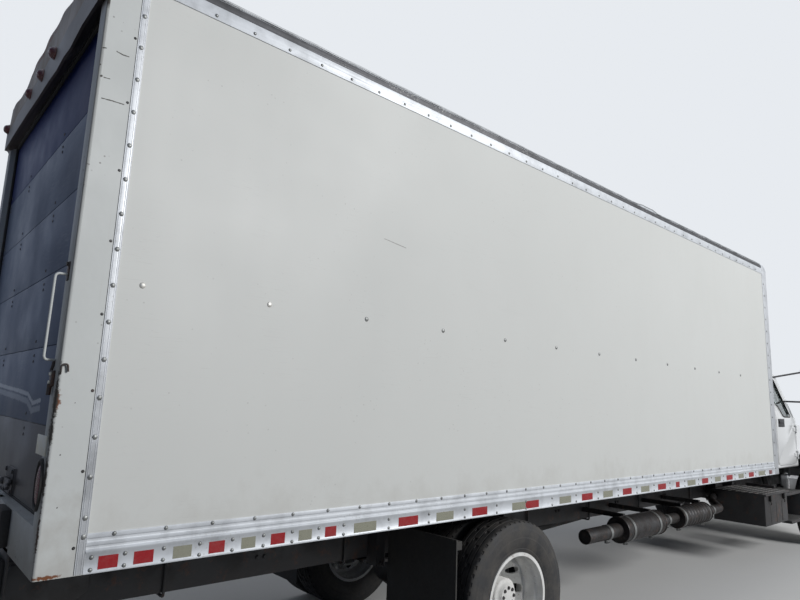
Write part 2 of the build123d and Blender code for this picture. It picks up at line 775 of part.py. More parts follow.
# The hood's pivot pins stand on the same brackets
PIVOT_STATION = 10920
PIVOT_HEIGHT = 850
PIVOT_PIN_RADIUS = 10
PIVOT_EYE_RADIUS = 24
PIVOT_ARM_X = 484
with BuildPart() as front_bumper:
    with BuildSketch(Plane.XY.offset(BUMPER_LOW)):
        with BuildLine():
            FilletPolyline(
                (-1175, at(10560)),
                (-1175, at(10820)),
                (-860, at(11030)),
                (0, at(FRONT_STATION)),
                (860, at(11030)),
                (1175, at(10820)),
                (1175, at(10560)),
                radius=(110, 220, 0, 220, 110),
            )
            offset(amount=BUMPER_STEEL, side=Side.RIGHT)
        make_face()
    extrude(amount=BUMPER_HEIGHT)
    for side in (-1, 1):
        with BuildSketch(Plane.YZ.offset(side * FRAME_HALF_WIDTH)):
            with BuildLine():
                FilletPolyline(
                    *side_points(
                        (
                            (10640, 740),
                            (10640, 870),
                            (10800, 870),
                            (11044, 745),
                            (11044, 440),
                            (10930, 440),
                        )
                    ),
                    radius=(20, 20, 20, 0, 40, 40),
                    close=True,
                )
            make_face()
            with Locations((at(PIVOT_STATION), PIVOT_HEIGHT)):
                Circle(20)
            with Locations((at(PIVOT_STATION), PIVOT_HEIGHT - 30)):
                Rectangle(40, 60)
            with Locations((at(TOW_EYE_STATION), TOW_EYE_HEIGHT)):
                Circle(TOW_EYE_RADIUS, mode=Mode.SUBTRACT)
        extrude(amount=side * BRACKET_STEEL)
        with BuildSketch(Plane.YZ.offset(side * (FRAME_HALF_WIDTH + BRACKET_STEEL - 2))):
            with Locations((at(PIVOT_STATION), PIVOT_HEIGHT)):
                Circle(PIVOT_PIN_RADIUS)
        extrude(amount=side * (PIVOT_ARM_X + 20 - FRAME_HALF_WIDTH - BRACKET_STEEL))
save(front_bumper.part, "front_bumper")

# Fuel tank on the left with two straps and the cab steps in front of it
with BuildPart() as fuel_tank:
    with BuildSketch(across(7300)):
        with Locations((840, 640)):
            RectangleRounded(560, 480, 110)
    extrude(amount=1150)
    for strap in (7500, 8200):
        with BuildSketch(across(strap)):
            with Locations((840, 640)):
                RectangleRounded(572, 492, 116)
        extrude(amount=50)
        bar(FRAME_HALF_WIDTH, 600, strap, strap + 50, 760, 900)
save(fuel_tank.part, "fuel_tank")

# Battery box on the right, with a flat tread top
with BuildPart() as battery_box:
    bar(-1150, -560, 7700, 8500, 480, 830)
    bar(-1175, -540, 7680, 8520, 830, 850)
    for bracket in (7800, 8350):
        bar(-560, -FRAME_HALF_WIDTH, bracket, bracket + 50, 760, 900)
save(battery_box.part, "battery_box")

# Cab steps, two treads on each side
with BuildPart() as cab_steps:
    for side in (-1, 1):
        for tread_low, reach in ((420, 1150), (760, 1110)):
            low_x, high_x = sorted((side * 800, side * reach))
            bar(low_x, high_x, 8640, 9300, tread_low, tread_low + 34)
        for end in (8640, 9288):
            low_x, high_x = sorted((side * 800, side * 1090))
            bar(low_x, high_x, end, end + 12, 454, 760)
        low_x, high_x = sorted((side * FRAME_HALF_WIDTH, side * 800))
        bar(low_x, high_x, 8700, 8760, 760, 820)
        bar(low_x, high_x, 9180, 9240, 760, 820)
save(cab_steps.part, "cab_steps")

# Exhaust on the right: two cans, the pipe between them, the outlet and the inlet from the engine
EXHAUST_X = -860
EXHAUST_HEIGHT = 700
with BuildPart() as exhaust:
    for rear, front, radius in (
        (4250, 4820, 62),
        (4800, 5547, 112),
        (5530, 5990, 50),
        (5971, 6670, 102),
        (6650, 7000, 50),
    ):
        with BuildSketch(across(rear)):
            with Locations((EXHAUST_X, EXHAUST_HEIGHT)):
                Circle(radius)
        extrude(amount=front - rear)
    for bracket in (4900, 5400, 6100, 6550):
        bar(EXHAUST_X, -FRAME_HALF_WIDTH, bracket, bracket + 40, 790, 830)
save(exhaust.part, "exhaust")

# Air tanks between and under the rails
with BuildPart() as air_tanks:
    for station in (4100, 5100):
        with BuildSketch(across(station)):
            with Locations((620, 640)):
                Circle(110)
        extrude(amount=700)
        for strap in (station + 120, station + 540):
            bar(FRAME_HALF_WIDTH, 620, strap, strap + 40, 730, 780)
save(air_tanks.part, "air_tanks")

# Cab outlines. Side view columns: station, height, corner radius.
CAB_SIDE = (
    (CAB_BACK, CAB_BOTTOM, 30),
    (CAB_BACK, CAB_TOP, 110),
    (8900, CAB_TOP, 140),
    (8975, 2395, 60),
    (9395, 1785, 60),
    (COWL_STATION, 1760, 20),
    (COWL_STATION, CAB_BOTTOM, 20),
)
# Front view columns: X of the left half, height, corner radius
CAB_FRONT = (
    (CAB_HALF_WIDTH, CAB_BOTTOM, 20),
    (CAB_HALF_WIDTH, 1740, 300),
    (955, 2330, 150),
    (880, CAB_TOP, 110),
)


def cab_block(inset):
    """The cab's closed outer form, drawn in by `inset` on every side."""
    with BuildPart() as block:
        with BuildSketch(Plane.YZ):
            with BuildLine():
                FilletPolyline(
                    *side_points([(row[0], row[1]) for row in CAB_SIDE]),
                    radius=[row[2] for row in CAB_SIDE],
                    close=True,
                )
            make_face()
            if inset:
                offset(amount=-inset)
        extrude(amount=1500, both=True)
        left = [(row[0], row[1]) for row in CAB_FRONT]
        right = [(-x, height) for x, height in reversed(left)]
        radii = [row[2] for row in CAB_FRONT]
        with BuildSketch(Plane.XZ):
            with BuildLine():
                FilletPolyline(*left, *right, radius=radii + radii[::-1], close=True)
            make_face()
            if inset:
                offset(amount=-inset)
        extrude(amount=6000, both=True, mode=Mode.INTERSECT)
    return block.part


# Side view of a door
with BuildSketch() as door_outline:
    with BuildLine():
        FilletPolyline(
            *side_points(
                (
                    (DOOR_REAR, 1140),
                    (DOOR_REAR, 2345),
                    (8915, 2345),
                    (DOOR_FRONT - 40, 1740),
                    (DOOR_FRONT, 1660),
                    (DOOR_FRONT, 1140),
                )
            ),
            radius=(60, 70, 60, 50, 30, 60),
            close=True,
        )
    make_face()

# Side view of a door's window: the sill dips towards the front
with BuildSketch() as window_outline:
    with BuildLine():
        FilletPolyline(
            *side_points(
                (
                    (8725, 1960),
                    (8725, 2285),
                    (8890, 2285),
                    (9255, 1775),
                    (8960, 1775),
                    (8840, 1900),
                )
            ),
            radius=(40, 40, 40, 40, 60, 60),
            close=True,
        )
    make_face()

# Front view of the windshield
with BuildSketch() as windshield_outline:
    with BuildLine():
        FilletPolyline((-900, 1850), (-820, 2330), (820, 2330), (900, 1850), radius=70, close=True)
    make_face()

# Door hinges: a barrel on the door turns round a pin between two lugs of the cab
HINGE_X = 1060
HINGE_STATION = 9396
HINGE_HEIGHTS = (1260, 1610)
HINGE_BARREL_RADIUS = 11
HINGE_PIN_RADIUS = 5
HINGE_BARREL = 50
HINGE_LUG = 25
STRAP_INNER_X = 1040
STRAP_OUTER_X = 1054


def upright(x, station, radius, low, high, mode=Mode.ADD):
    """Upright cylinder between two heights."""
    with Locations((x, at(station), (low + high) / 2)):
        Cylinder(radius, high - low, mode=mode)


# Cab shell, hollow, with its door, windshield and rear window openings
with BuildPart() as cab_shell:
    add(cab_block(0))
    add(cab_block(CAB_WALL), mode=Mode.SUBTRACT)
    for side in (-1, 1):
        with BuildSketch(Plane.YZ.offset(side * DOOR_INNER_X)):
            add(door_outline.sketch)
            offset(amount=DOOR_GAP)
        extrude(amount=side * 300, mode=Mode.SUBTRACT)
    with BuildSketch(across(8700)):
        add(windshield_outline.sketch)
    extrude(amount=760, mode=Mode.SUBTRACT)
    with BuildSketch(across(CAB_BACK - 50)):
        with Locations((0, 2060)):
            RectangleRounded(1000, 380, 60)
    extrude(amount=200, mode=Mode.SUBTRACT)
    for side in (-1, 1):
        strap_low, strap_high = sorted((side * STRAP_INNER_X, side * STRAP_OUTER_X))
        for height in HINGE_HEIGHTS:
            for lug_low in (height - 30 - HINGE_LUG, height + 30):
                bar(strap_low, strap_high, 9400, 9436, lug_low, lug_low + HINGE_LUG)
                upright(side * HINGE_X, HINGE_STATION, HINGE_BARREL_RADIUS, lug_low, lug_low + HINGE_LUG)
            upright(side * HINGE_X, HINGE_STATION, HINGE_PIN_RADIUS, height - 50, height + 50)
save(cab_shell.part, "cab_shell")

# Depth of each pane's outer face under the panel around it
PANE_DEPTH = 14


def pane_section(start, end):
    """Section of a pane: a thin strip beside the line from start to end, on its right."""
    with BuildSketch() as strip:
        direction = (Vector(*end) - Vector(*start)).normalized()
        inward = Vector(direction.Y, -direction.X)
        outer = inward * PANE_DEPTH
        inner = inward * (PANE_DEPTH + PANE)
        with BuildLine():
            Polyline(
                Vector(*start) + outer,
                Vector(*end) + outer,
                Vector(*end) + inner,
                Vector(*start) + inner,
                close=True,
            )
        make_face()
    return strip.sketch


# Windshield and rear window panes, set into the shell
with BuildPart() as cab_glass:
    with BuildSketch(Plane.YZ):
        add(pane_section((at(9395), 1785), (at(8975), 2395)))
    extrude(amount=1000, both=True)
    with BuildSketch(across(8700)):
        add(windshield_outline.sketch)
    extrude(amount=760, mode=Mode.INTERSECT)
    with BuildSketch(across(CAB_BACK + PANE_DEPTH)):
        with Locations((0, 2060)):
            RectangleRounded(1000, 380, 60)
    extrude(amount=PANE)
save(cab_glass.part, "cab_glass")

for side, side_name in ((-1, "right"), (1, "left")):
    # Door shell with its window hole
    with BuildPart() as door:
        add(cab_block(0))
        add(cab_block(CAB_WALL), mode=Mode.SUBTRACT)
        with BuildSketch(Plane.YZ.offset(side * DOOR_INNER_X)):
            add(door_outline.sketch)
        extrude(amount=side * 300, mode=Mode.INTERSECT)
        with BuildSketch(Plane.YZ.offset(side * 700)):
            add(window_outline.sketch)
        extrude(amount=side * 600, mode=Mode.SUBTRACT)
        strap_low, strap_high = sorted((side * STRAP_INNER_X, side * STRAP_OUTER_X))
        for height in HINGE_HEIGHTS:
            low, high = height - HINGE_BARREL / 2, height + HINGE_BARREL / 2
            bar(strap_low, strap_high, 9300, 9390, low, high)
            upright(side * HINGE_X, HINGE_STATION, HINGE_BARREL_RADIUS, low, high)
            upright(side * HINGE_X, HINGE_STATION, HINGE_PIN_RADIUS + 1, low, high, Mode.SUBTRACT)
    save(door.part, "door_" + side_name)
    # Window pane
    with BuildPart() as door_glass:
        with BuildSketch(Plane.XZ):
            if side > 0:
                add(pane_section((955, 2330), (CAB_HALF_WIDTH, 1740)))
            else:
                add(pane_section((-CAB_HALF_WIDTH, 1740), (-955, 2330)))
        extrude(amount=6000, both=True)
        with BuildSketch(Plane.YZ.offset(side * 700)):
            add(window_outline.sketch)
        extrude(amount=side * 600, mode=Mode.INTERSECT)
    save(door_glass.part, "door_glass_" + side_name)
    # Door mirror: housing on an upper and a lower arm
    with BuildPart() as mirror:
        mirror_x = side * 1300
        with BuildSketch(Plane.XY.offset(1960)):
            with Locations((mirror_x, at(9330))):
                RectangleRounded(230, 90, 30)
        extrude(amount=480)
        for height, root_x, root_station in ((2440 - 30, 940, 8890), (1990, 1010, 9110)):
            start = Vector(side * root_x, at(root_station), min(height, 2310))
            end = Vector(side * 1220, at(9330), height)
            with BuildSketch(Plane(start, z_dir=(end - start))):
                Circle(12)
            extrude(amount=(end - start).length)
        add(cab_block(0), mode=Mode.SUBTRACT)
    save(mirror.part, "mirror_" + side_name)

# Hood outlines. Side view columns: station, height, corner radius.
HOOD_REAR = COWL_STATION + HOOD_GAP
HOOD_SIDE = (
    (HOOD_REAR, 700, 20),
    (HOOD_REAR, 1765, 20),
    (10600, 1600, 400),
    (10880, 1440, 160),
    (10950, 1150, 120),
    (10950, 870, 20),
    (10790, 610, 60),
)
# Front view columns: X of the left half, height, corner radius
HOOD_FRONT = (
    (FENDER_HALF_WIDTH, 500, 0),
    (FENDER_HALF_WIDTH, 1250, 120),
    (960, 1290, 60),
    (900, 1660, 160),
    (700, 1790, 200),
)
# Plan view columns: X of the left half, station, corner radius
HOOD_PLAN = (
    (FENDER_HALF_WIDTH, 9300, 0),
    (FENDER_HALF_WIDTH, 10500, 600),
    (1090, 10800, 200),
    (820, 10950, 200),
)


def hood_block(inset, open_by):
    """The hood's outer form drawn in by `inset`; `open_by` lets its rear and underside run on."""
    with BuildPart() as block:
        with BuildSketch(Plane.YZ):
            with BuildLine():
                FilletPolyline(
                    *side_points([(row[0], row[1]) for row in HOOD_SIDE]),
                    radius=[row[2] for row in HOOD_SIDE],
                    close=True,
                )
            make_face()
            if inset:
                offset(amount=-inset)
            if open_by:
                with Locations((at(HOOD_REAR), 1050)):
                    Rectangle(2 * inset + 200, 1380)
                with Locations((at(10200), 700)):
                    Rectangle(1470, 500)
        extrude(amount=1500, both=True)
        left = [(row[0], row[1]) for row in HOOD_FRONT]
        right = [(-x, height) for x, height in reversed(left)]
        radii = [row[2] for row in HOOD_FRONT]
        with BuildSketch(Plane.XZ):
            with BuildLine():
                FilletPolyline(*left, *right, radius=radii + radii[::-1], close=True)
            make_face()
            if inset:
                offset(amount=-inset)
                with Locations((0, 550)):
                    Rectangle(2 * (FENDER_HALF_WIDTH - inset), 400)
        extrude(amount=6000, both=True, mode=Mode.INTERSECT)
        left = [(row[0], at(row[1])) for row in HOOD_PLAN]
        right = [(-x, y) for x, y in reversed(left)]
        radii = [row[2] for row in HOOD_PLAN]
        with BuildSketch(Plane.XY):
            with BuildLine():
                FilletPolyline(*left, *right, radius=radii + radii[::-1], close=True)
            make_face()
            if inset:
                offset(amount=-inset)
        extrude(amount=3000, mode=Mode.INTERSECT)
    return block.part


# Hood shell with its wheel arches, grille opening and lamp openings
GRILLE_HALF_WIDTH = 430
GRILLE_LOW = 930
GRILLE_HIGH = 1380
LAMP_X = 730
LAMP_HEIGHT = 1090
with BuildPart() as hood:
    add(hood_block(0, 0))
    add(hood_block(HOOD_WALL, 300), mode=Mode.SUBTRACT)
    with BuildSketch(Plane.YZ):
        with Locations((at(FRONT_AXLE_STATION), TYRE_RADIUS)):
            Circle(ARCH_RADIUS)
    extrude(amount=1500, both=True, mode=Mode.SUBTRACT)
    with BuildSketch(across(10700)):
        with Locations((0, (GRILLE_LOW + GRILLE_HIGH) / 2)):
            RectangleRounded(2 * GRILLE_HALF_WIDTH, GRILLE_HIGH - GRILLE_LOW, 60)
        for side in (-1, 1):
            with Locations((side * LAMP_X, LAMP_HEIGHT)):
                RectangleRounded(360, 210, 60)
    extrude(amount=300, mode=Mode.SUBTRACT)
    for side in (-1, 1):
        # Clear of the bumper's bracket, and an arm with an eye round the pivot pin
        with BuildSketch(Plane.YZ.offset(side * (FRAME_HALF_WIDTH - 12))):
            with Locations((at(PIVOT_STATION), PIVOT_HEIGHT)):
                Circle(36)
        extrude(amount=side * (BRACKET_STEEL + 24), mode=Mode.SUBTRACT)
        with BuildSketch(Plane.YZ.offset(side * PIVOT_ARM_X)):
            with BuildLine():
                Polyline(
                    *side_points(
                        (
                            (PIVOT_STATION - 22, PIVOT_HEIGHT),
                            (PIVOT_STATION - 22, PIVOT_HEIGHT + 170),
                            (PIVOT_STATION + 20, PIVOT_HEIGHT + 170),
                            (PIVOT_STATION + 20, PIVOT_HEIGHT),
                        )
                    ),
                    close=True,
                )
            make_face()
            with Locations((at(PIVOT_STATION), PIVOT_HEIGHT)):
                Circle(PIVOT_EYE_RADIUS)
                Circle(PIVOT_PIN_RADIUS + 1, mode=Mode.SUBTRACT)
        extrude(amount=side * 14)
save(hood.part, "hood")

# Grille: a rim and level bars set in the hood's opening
with BuildPart() as grille:
    with BuildSketch(across(10880)):
        with Locations((0, (GRILLE_LOW + GRILLE_HIGH) / 2)):
            RectangleRounded(2 * GRILLE_HALF_WIDTH, GRILLE_HIGH - GRILLE_LOW, 60)
            RectangleRounded(
                2 * GRILLE_HALF_WIDTH - 60,
                GRILLE_HIGH - GRILLE_LOW - 60,
                40,
                mode=Mode.SUBTRACT,
            )
    extrude(amount=50)
    for bar_low in range(GRILLE_LOW + 60, GRILLE_HIGH - 60, 62):
        bar(-GRILLE_HALF_WIDTH + 20, GRILLE_HALF_WIDTH - 20, 10890, 10920, bar_low, bar_low + 26)
save(grille.part, "grille")

# Headlamps filling the hood's lamp openings
with BuildPart() as headlamps:
    add(hood_block(0, 0))
    with BuildSketch(across(10790)):
        for side in (-1, 1):
            with Locations((side * LAMP_X, LAMP_HEIGHT)):
                RectangleRounded(360, 210, 60)
    extrude(amount=400, mode=Mode.INTERSECT)
save(headlamps.part, "headlamps")

# Seats: driver's seat and a bench for two, each on a pedestal
# Columns: centre X, width
SEATS = ((480, 520), (-340, 900))
CAB_FLOOR = CAB_BOTTOM + CAB_WALL
with BuildPart() as seats:
    for centre_x, width in SEATS:
        with BuildSketch(Plane.YZ.offset(centre_x - width / 2)):
            with BuildLine():
                FilletPolyline(
                    *side_points(
                        (
                            (8450, CAB_FLOOR),
                            (8450, 1500),
                            (8390, 2040),
                            (8480, 2060),
                            (8570, 1560),
                            (8860, 1545),
                            (8890, 1450),
                            (8820, 1390),
                            (8780, CAB_FLOOR),
                        )
                    ),
                    radius=(0, 30, 40, 40, 60, 40, 30, 30, 0),
                    close=True,
                )
            make_face()
        extrude(amount=width)
save(seats.part, "seats")

# Dashboard across the cab under the windshield, with the steering column's shroud
WHEEL_CENTRE = Vector(480, at(9030), 1765)
COLUMN_DIRECTION = Vector(0, -150, -90).normalized()
COLUMN_LENGTH = 190
HUB_DEPTH = 30
with BuildPart() as dashboard:
    with BuildSketch(Plane.YZ.offset(-960)):
        with BuildLine():
            FilletPolyline(
                *side_points(
                    (
                        (9395, 1300),
                        (9200, 1420),
                        (9130, 1560),
                        (9160, 1690),
                        (9250, 1735),
                        (9395, 1715),
                    )
                ),
                radius=(0, 60, 60, 40, 40, 0),
                close=True,
            )
        make_face()
    extrude(amount=1920)
    with BuildSketch(Plane(WHEEL_CENTRE + COLUMN_DIRECTION * HUB_DEPTH, z_dir=COLUMN_DIRECTION)):
        Circle(38)
    extrude(amount=COLUMN_LENGTH)
save(dashboard.part, "dashboard")

# Steering wheel: a rim on three spokes and a hub
with BuildPart() as steering_wheel:
    wheel_plane = Plane(WHEEL_CENTRE, z_dir=COLUMN_DIRECTION)
    rim_plane = Plane(WHEEL_CENTRE, x_dir=wheel_plane.x_dir, z_dir=wheel_plane.y_dir)
    with BuildSketch(rim_plane):
        with Locations((215, 0)):
            Circle(15)
    revolve(axis=Axis(WHEEL_CENTRE, COLUMN_DIRECTION))
    with BuildSketch(wheel_plane):
        Circle(216)
        Circle(190, mode=Mode.SUBTRACT)
        with PolarLocations(100, 3, start_angle=30):
            Rectangle(210, 32)
        Circle(55)
        Circle(214, mode=Mode.INTERSECT)
    extrude(amount=10)
    with BuildSketch(wheel_plane):
        Circle(45)
    extrude(amount=HUB_DEPTH)
save(steering_wheel.part, "steering_wheel")
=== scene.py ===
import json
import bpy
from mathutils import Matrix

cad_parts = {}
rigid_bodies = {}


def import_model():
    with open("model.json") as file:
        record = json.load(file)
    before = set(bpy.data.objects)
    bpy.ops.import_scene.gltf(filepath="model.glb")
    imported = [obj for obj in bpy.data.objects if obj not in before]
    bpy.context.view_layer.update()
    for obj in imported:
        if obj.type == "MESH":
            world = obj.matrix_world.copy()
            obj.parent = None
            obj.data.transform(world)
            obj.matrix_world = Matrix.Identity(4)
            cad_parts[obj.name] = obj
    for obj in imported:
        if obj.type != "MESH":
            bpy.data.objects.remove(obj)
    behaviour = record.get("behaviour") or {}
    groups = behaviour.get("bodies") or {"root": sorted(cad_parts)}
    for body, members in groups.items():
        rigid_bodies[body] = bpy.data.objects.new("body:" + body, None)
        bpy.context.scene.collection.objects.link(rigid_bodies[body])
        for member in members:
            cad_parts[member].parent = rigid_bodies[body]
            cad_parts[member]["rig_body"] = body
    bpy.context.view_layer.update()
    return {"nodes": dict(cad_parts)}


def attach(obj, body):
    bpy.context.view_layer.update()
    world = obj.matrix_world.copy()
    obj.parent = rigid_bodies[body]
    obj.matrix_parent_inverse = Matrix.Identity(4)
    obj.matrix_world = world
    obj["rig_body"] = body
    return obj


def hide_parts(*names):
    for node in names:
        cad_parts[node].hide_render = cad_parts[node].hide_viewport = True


bl_info = {
    "name": "Box Truck", "version": (1, 0, 0), "blender": (4, 5, 0), "location": "3D Viewport > Sidebar > Truck",
    "description": "Dresses the packed box truck with its finishes and fittings and lights it on a pale floor",
    "category": "Object"
}

from math import cos, pi, radians, sin

import bmesh
import bpy
from mathutils import Matrix, Vector

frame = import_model()

# The truck's frame in metres: front faces -Y, its left side is +X. A station is a distance
# forward from the rear face of the box's corner posts.
REAR_Y = 5.508
SIDE_X = 1.219
RAIL_Z = 1.082
AXLE_Z = 0.505
REAR_AXLE = 2.924
FRONT_AXLE = 10.06
SIDES = (("right", -1), ("left", 1))
REAR = (0, 1, 0)
AHEAD = (0, -1, 0)
UP = (0, 0, 1)
DOWN = (0, 0, -1)


def at(station):
    """Y coordinate of a station."""
    return REAR_Y - station


# Node trees


class Nodes:
    """Short calls that add nodes to one shader tree."""

    def __init__(self, tree):
        self.tree = tree
        tree.nodes.clear()

    def add(self, kind, inputs=None, **settings):
        made = self.tree.nodes.new(kind if kind.startswith("NodeGroup") else "ShaderNode" + kind)
        for key, value in settings.items():
            setattr(made, key, value)
        for key, value in (inputs or {}).items():
            self.feed(made.inputs[key], value)
        return made

    def feed(self, socket, value):
        """Links or sets a socket; a colour may leave out its alpha."""
        if isinstance(value, bpy.types.NodeSocket):
            self.tree.links.new(value, socket)
        elif socket.type == "RGBA" and len(value) == 3:
            socket.default_value = (*value, 1.0)
        else:
            socket.default_value = value

    def combine(self, kind, values, output=0, **settings):
        """Adds a node, feeds its inputs in turn and gives one output."""
        made = self.add(kind, **settings)
        for socket, value in zip(made.inputs, values):
            self.feed(socket, value)
        return made.outputs[output]

    def math(self, operation, *values, clamp=False):
        return self.combine("Math", values, operation=operation, use_clamp=clamp)

    def times(self, first, second):
        return self.math("MULTIPLY", first, second)

    def vector(self, operation, *values, output=0):
        return self.combine("VectorMath", values, output, operation=operation)

    def scaled(self, vector, factors):
        return self.vector("MULTIPLY", vector, factors)

    def range(self, value, low, high, to_low=0.0, to_high=1.0):
        return self.combine("MapRange", (value, low, high, to_low, to_high))

    def mix(self, factor, low, high):
        made = self.add("Mix", data_type="RGBA")
        for index, value in ((0, factor), (6, low), (7, high)):
            self.feed(made.inputs[index], value)
        return made.outputs[2]

    def parts(self, vector):
        return self.add("SeparateXYZ", {"Vector": vector}).outputs

    def noise(self, vector, scale, detail=3.0, roughness=0.55):
        inputs = {"Vector": vector, "Scale": scale, "Detail": detail, "Roughness": roughness}
        return self.add("TexNoise", inputs).outputs["Fac"]

    def cells(self, vector, scale, feature="F1"):
        return self.add("TexVoronoi", {"Vector": vector, "Scale": scale}, feature=feature).outputs["Distance"]

    def effect(self, name, **inputs):
        return self.add("Group", inputs, node_tree=bpy.data.node_groups[name]).outputs[0]

    def bump(self, height, distance):
        return self.add("Bump", {"Height": height, "Distance": distance, "Strength": 1.0}).outputs["Normal"]


def grime_effect(n, given):
    fall = n.range(n.parts(given["Vector"])[2], given["Low"], given["High"], 1.0, 0.0)
    cloud = n.noise(given["Vector"], given["Scale"], 6.0, 0.65)
    level = n.math("ADD", fall, n.times(n.math("SUBTRACT", cloud, 0.5), 1.1))
    edge = n.math("SUBTRACT", 1.0, given["Amount"])
    return n.range(level, edge, n.math("ADD", edge, 0.5))


def streaks_effect(n, given):
    fine = n.noise(n.scaled(given["Vector"], (1.0, 1.0, 0.045)), given["Scale"], 4.0, 0.6)
    broad = n.noise(given["Vector"], 1.3, 2.0)
    edge = n.math("SUBTRACT", 0.78, n.times(given["Amount"], 0.3))
    return n.times(n.range(fine, edge, n.math("ADD", edge, 0.16)), n.range(broad, 0.35, 0.7))


def hairlines_effect(n, given):
    drawn = n.scaled(given["Vector"], given["Stretch"])
    line = n.math("ABSOLUTE", n.math("SUBTRACT", n.noise(drawn, 1.0, 2.0), 0.5))
    thin = n.range(line, 0.0, given["Width"], 1.0, 0.0)
    return n.times(thin, n.range(n.noise(given["Vector"], 2.7, 3.0), 0.5, 0.66))


def mark_effect(n, given):
    """A ragged line from Start to End."""
    to_point = n.vector("SUBTRACT", given["Vector"], given["Start"])
    along = n.vector("SUBTRACT", given["End"], given["Start"])
    dot = n.vector("DOT_PRODUCT", to_point, along, output=1)
    share = n.math("DIVIDE", dot, n.vector("DOT_PRODUCT", along, along, output=1), clamp=True)
    nearest = n.vector("SCALE", along)
    n.feed(nearest.node.inputs["Scale"], share)
    gap = n.vector("LENGTH", n.vector("SUBTRACT", to_point, nearest), output=1)
    rough = n.times(n.noise(given["Vector"], 90.0, 3.0), given["Width"])
    return n.range(gap, rough, n.times(rough, 1.5), 1.0, 0.0)


def patch_effect(n, given):
    """A ragged patch round Centre, Size across."""
    offset = n.vector("DIVIDE", n.vector("SUBTRACT", given["Vector"], given["Centre"]), given["Size"])
    reach = n.vector("LENGTH", offset, output=1)
    cloud = n.noise(given["Vector"], given["Scale"], 6.0, 0.7)
    return n.range(n.math("ADD", reach, n.times(cloud, 1.6)), 1.15, 1.4, 1.0, 0.0)


def speckle_effect(n, given):
    near = n.cells(given["Vector"], given["Scale"])
    spots = n.range(near, given["Size"], n.times(given["Size"], 0.7))
    return n.times(spots, n.range(n.noise(given["Vector"], 3.1, 3.0), 0.52, 0.64))


def brushed_effect(n, given):
    return n.noise(n.scaled(given["Vector"], given["Stretch"]), 1.0, 4.0, 0.6)


# Shader groups. Columns: name, what builds its mask, vector inputs, number inputs.
EFFECTS = (
    ("Grime", grime_effect, "Vector", "Low High Scale Amount"), ("Streaks", streaks_effect, "Vector", "Scale Amount"),
    ("Hairlines", hairlines_effect, "Vector Stretch", "Width"), ("Mark", mark_effect, "Vector Start End", "Width"),
    ("Patch", patch_effect, "Vector Centre Size", "Scale"), ("Speckle", speckle_effect, "Vector", "Scale Size"),
    ("Brushed", brushed_effect, "Vector Stretch", "")
)


def new_effect(name, build, vectors, numbers):
    """Shader group with one mask output."""
    tree = bpy.data.node_groups.new(name, "ShaderNodeTree")
    for kind, labels in (("Vector", vectors), ("Float", numbers)):
        for label in labels.split():
            tree.interface.new_socket(label, in_out="INPUT", socket_type="NodeSocket" + kind)
    tree.interface.new_socket("Mask", in_out="OUTPUT", socket_type="NodeSocketFloat")
    n = Nodes(tree)
    given = n.add("NodeGroupInput").outputs
    n.feed(n.add("NodeGroupOutput").inputs[0], build(n, given))


# Finishes


SCUFF = (0.3, 0.29, 0.28)
BLACK_CHIP = (0.05, 0.045, 0.04)
RUST = (0.16, 0.055, 0.02)
DARK_RUST = (0.05, 0.028, 0.02)
DUST = (0.3, 0.27, 0.23)


def dimmed(tint, share):
    """A tint's red, green and blue times a share."""
    return tuple(part * share for part in tint[:3])


class Finish(Nodes):
    """Nodes of a new material that lies on object coordinates."""

    def __init__(self, name):
        self.material = bpy.data.materials.new(name)
        self.material.use_nodes = True
        super().__init__(self.material.node_tree)
        shader = self.add("BsdfPrincipled")
        self.feed(self.add("OutputMaterial").inputs["Surface"], shader.outputs[0])
        self.shader = shader.inputs
        self.place = self.add("TexCoord").outputs["Object"]

    def lay(self, colour, effect, share, tone, **inputs):
        """Colour with a share of a tone where an effect's mask is."""
        mask = self.effect(effect, Vector=self.place, **inputs)
        return self.mix(self.times(mask, share), colour, tone)

    def marks(self, colour, rows):
        """Colour with each row's mark over it. Rows: start, end, width, colour of the mark."""
        for start, end, width, tone in rows:
            mask = self.effect("Mark", Vector=self.place, Start=start, End=end, Width=width)
            colour = self.mix(mask, colour, tone)
        return colour

    def patches(self, colour, rows):
        """Colour with each row's patch over it. Rows: centre, size, scale, colour of the patch."""
        for centre, size, scale, tone in rows:
            mask = self.effect("Patch", Vector=self.place, Centre=centre, Size=size, Scale=scale)
            colour = self.mix(mask, colour, tone)
        return colour

    def close(self, colour, rough, relief=None, **constants):
        """Feeds the shader. Rough: a value, or a value's range. Relief: height and depth of the bump."""
        self.feed(self.shader["Base Color"], colour)
        self.feed(self.shader["Roughness"], self.range(*rough) if isinstance(rough, tuple) else rough)
        for name, value in constants.items():
            self.feed(self.shader[name.replace("_", " ")], value)
        if relief:
            self.feed(self.shader["Normal"], self.bump(*relief))
        return self.material


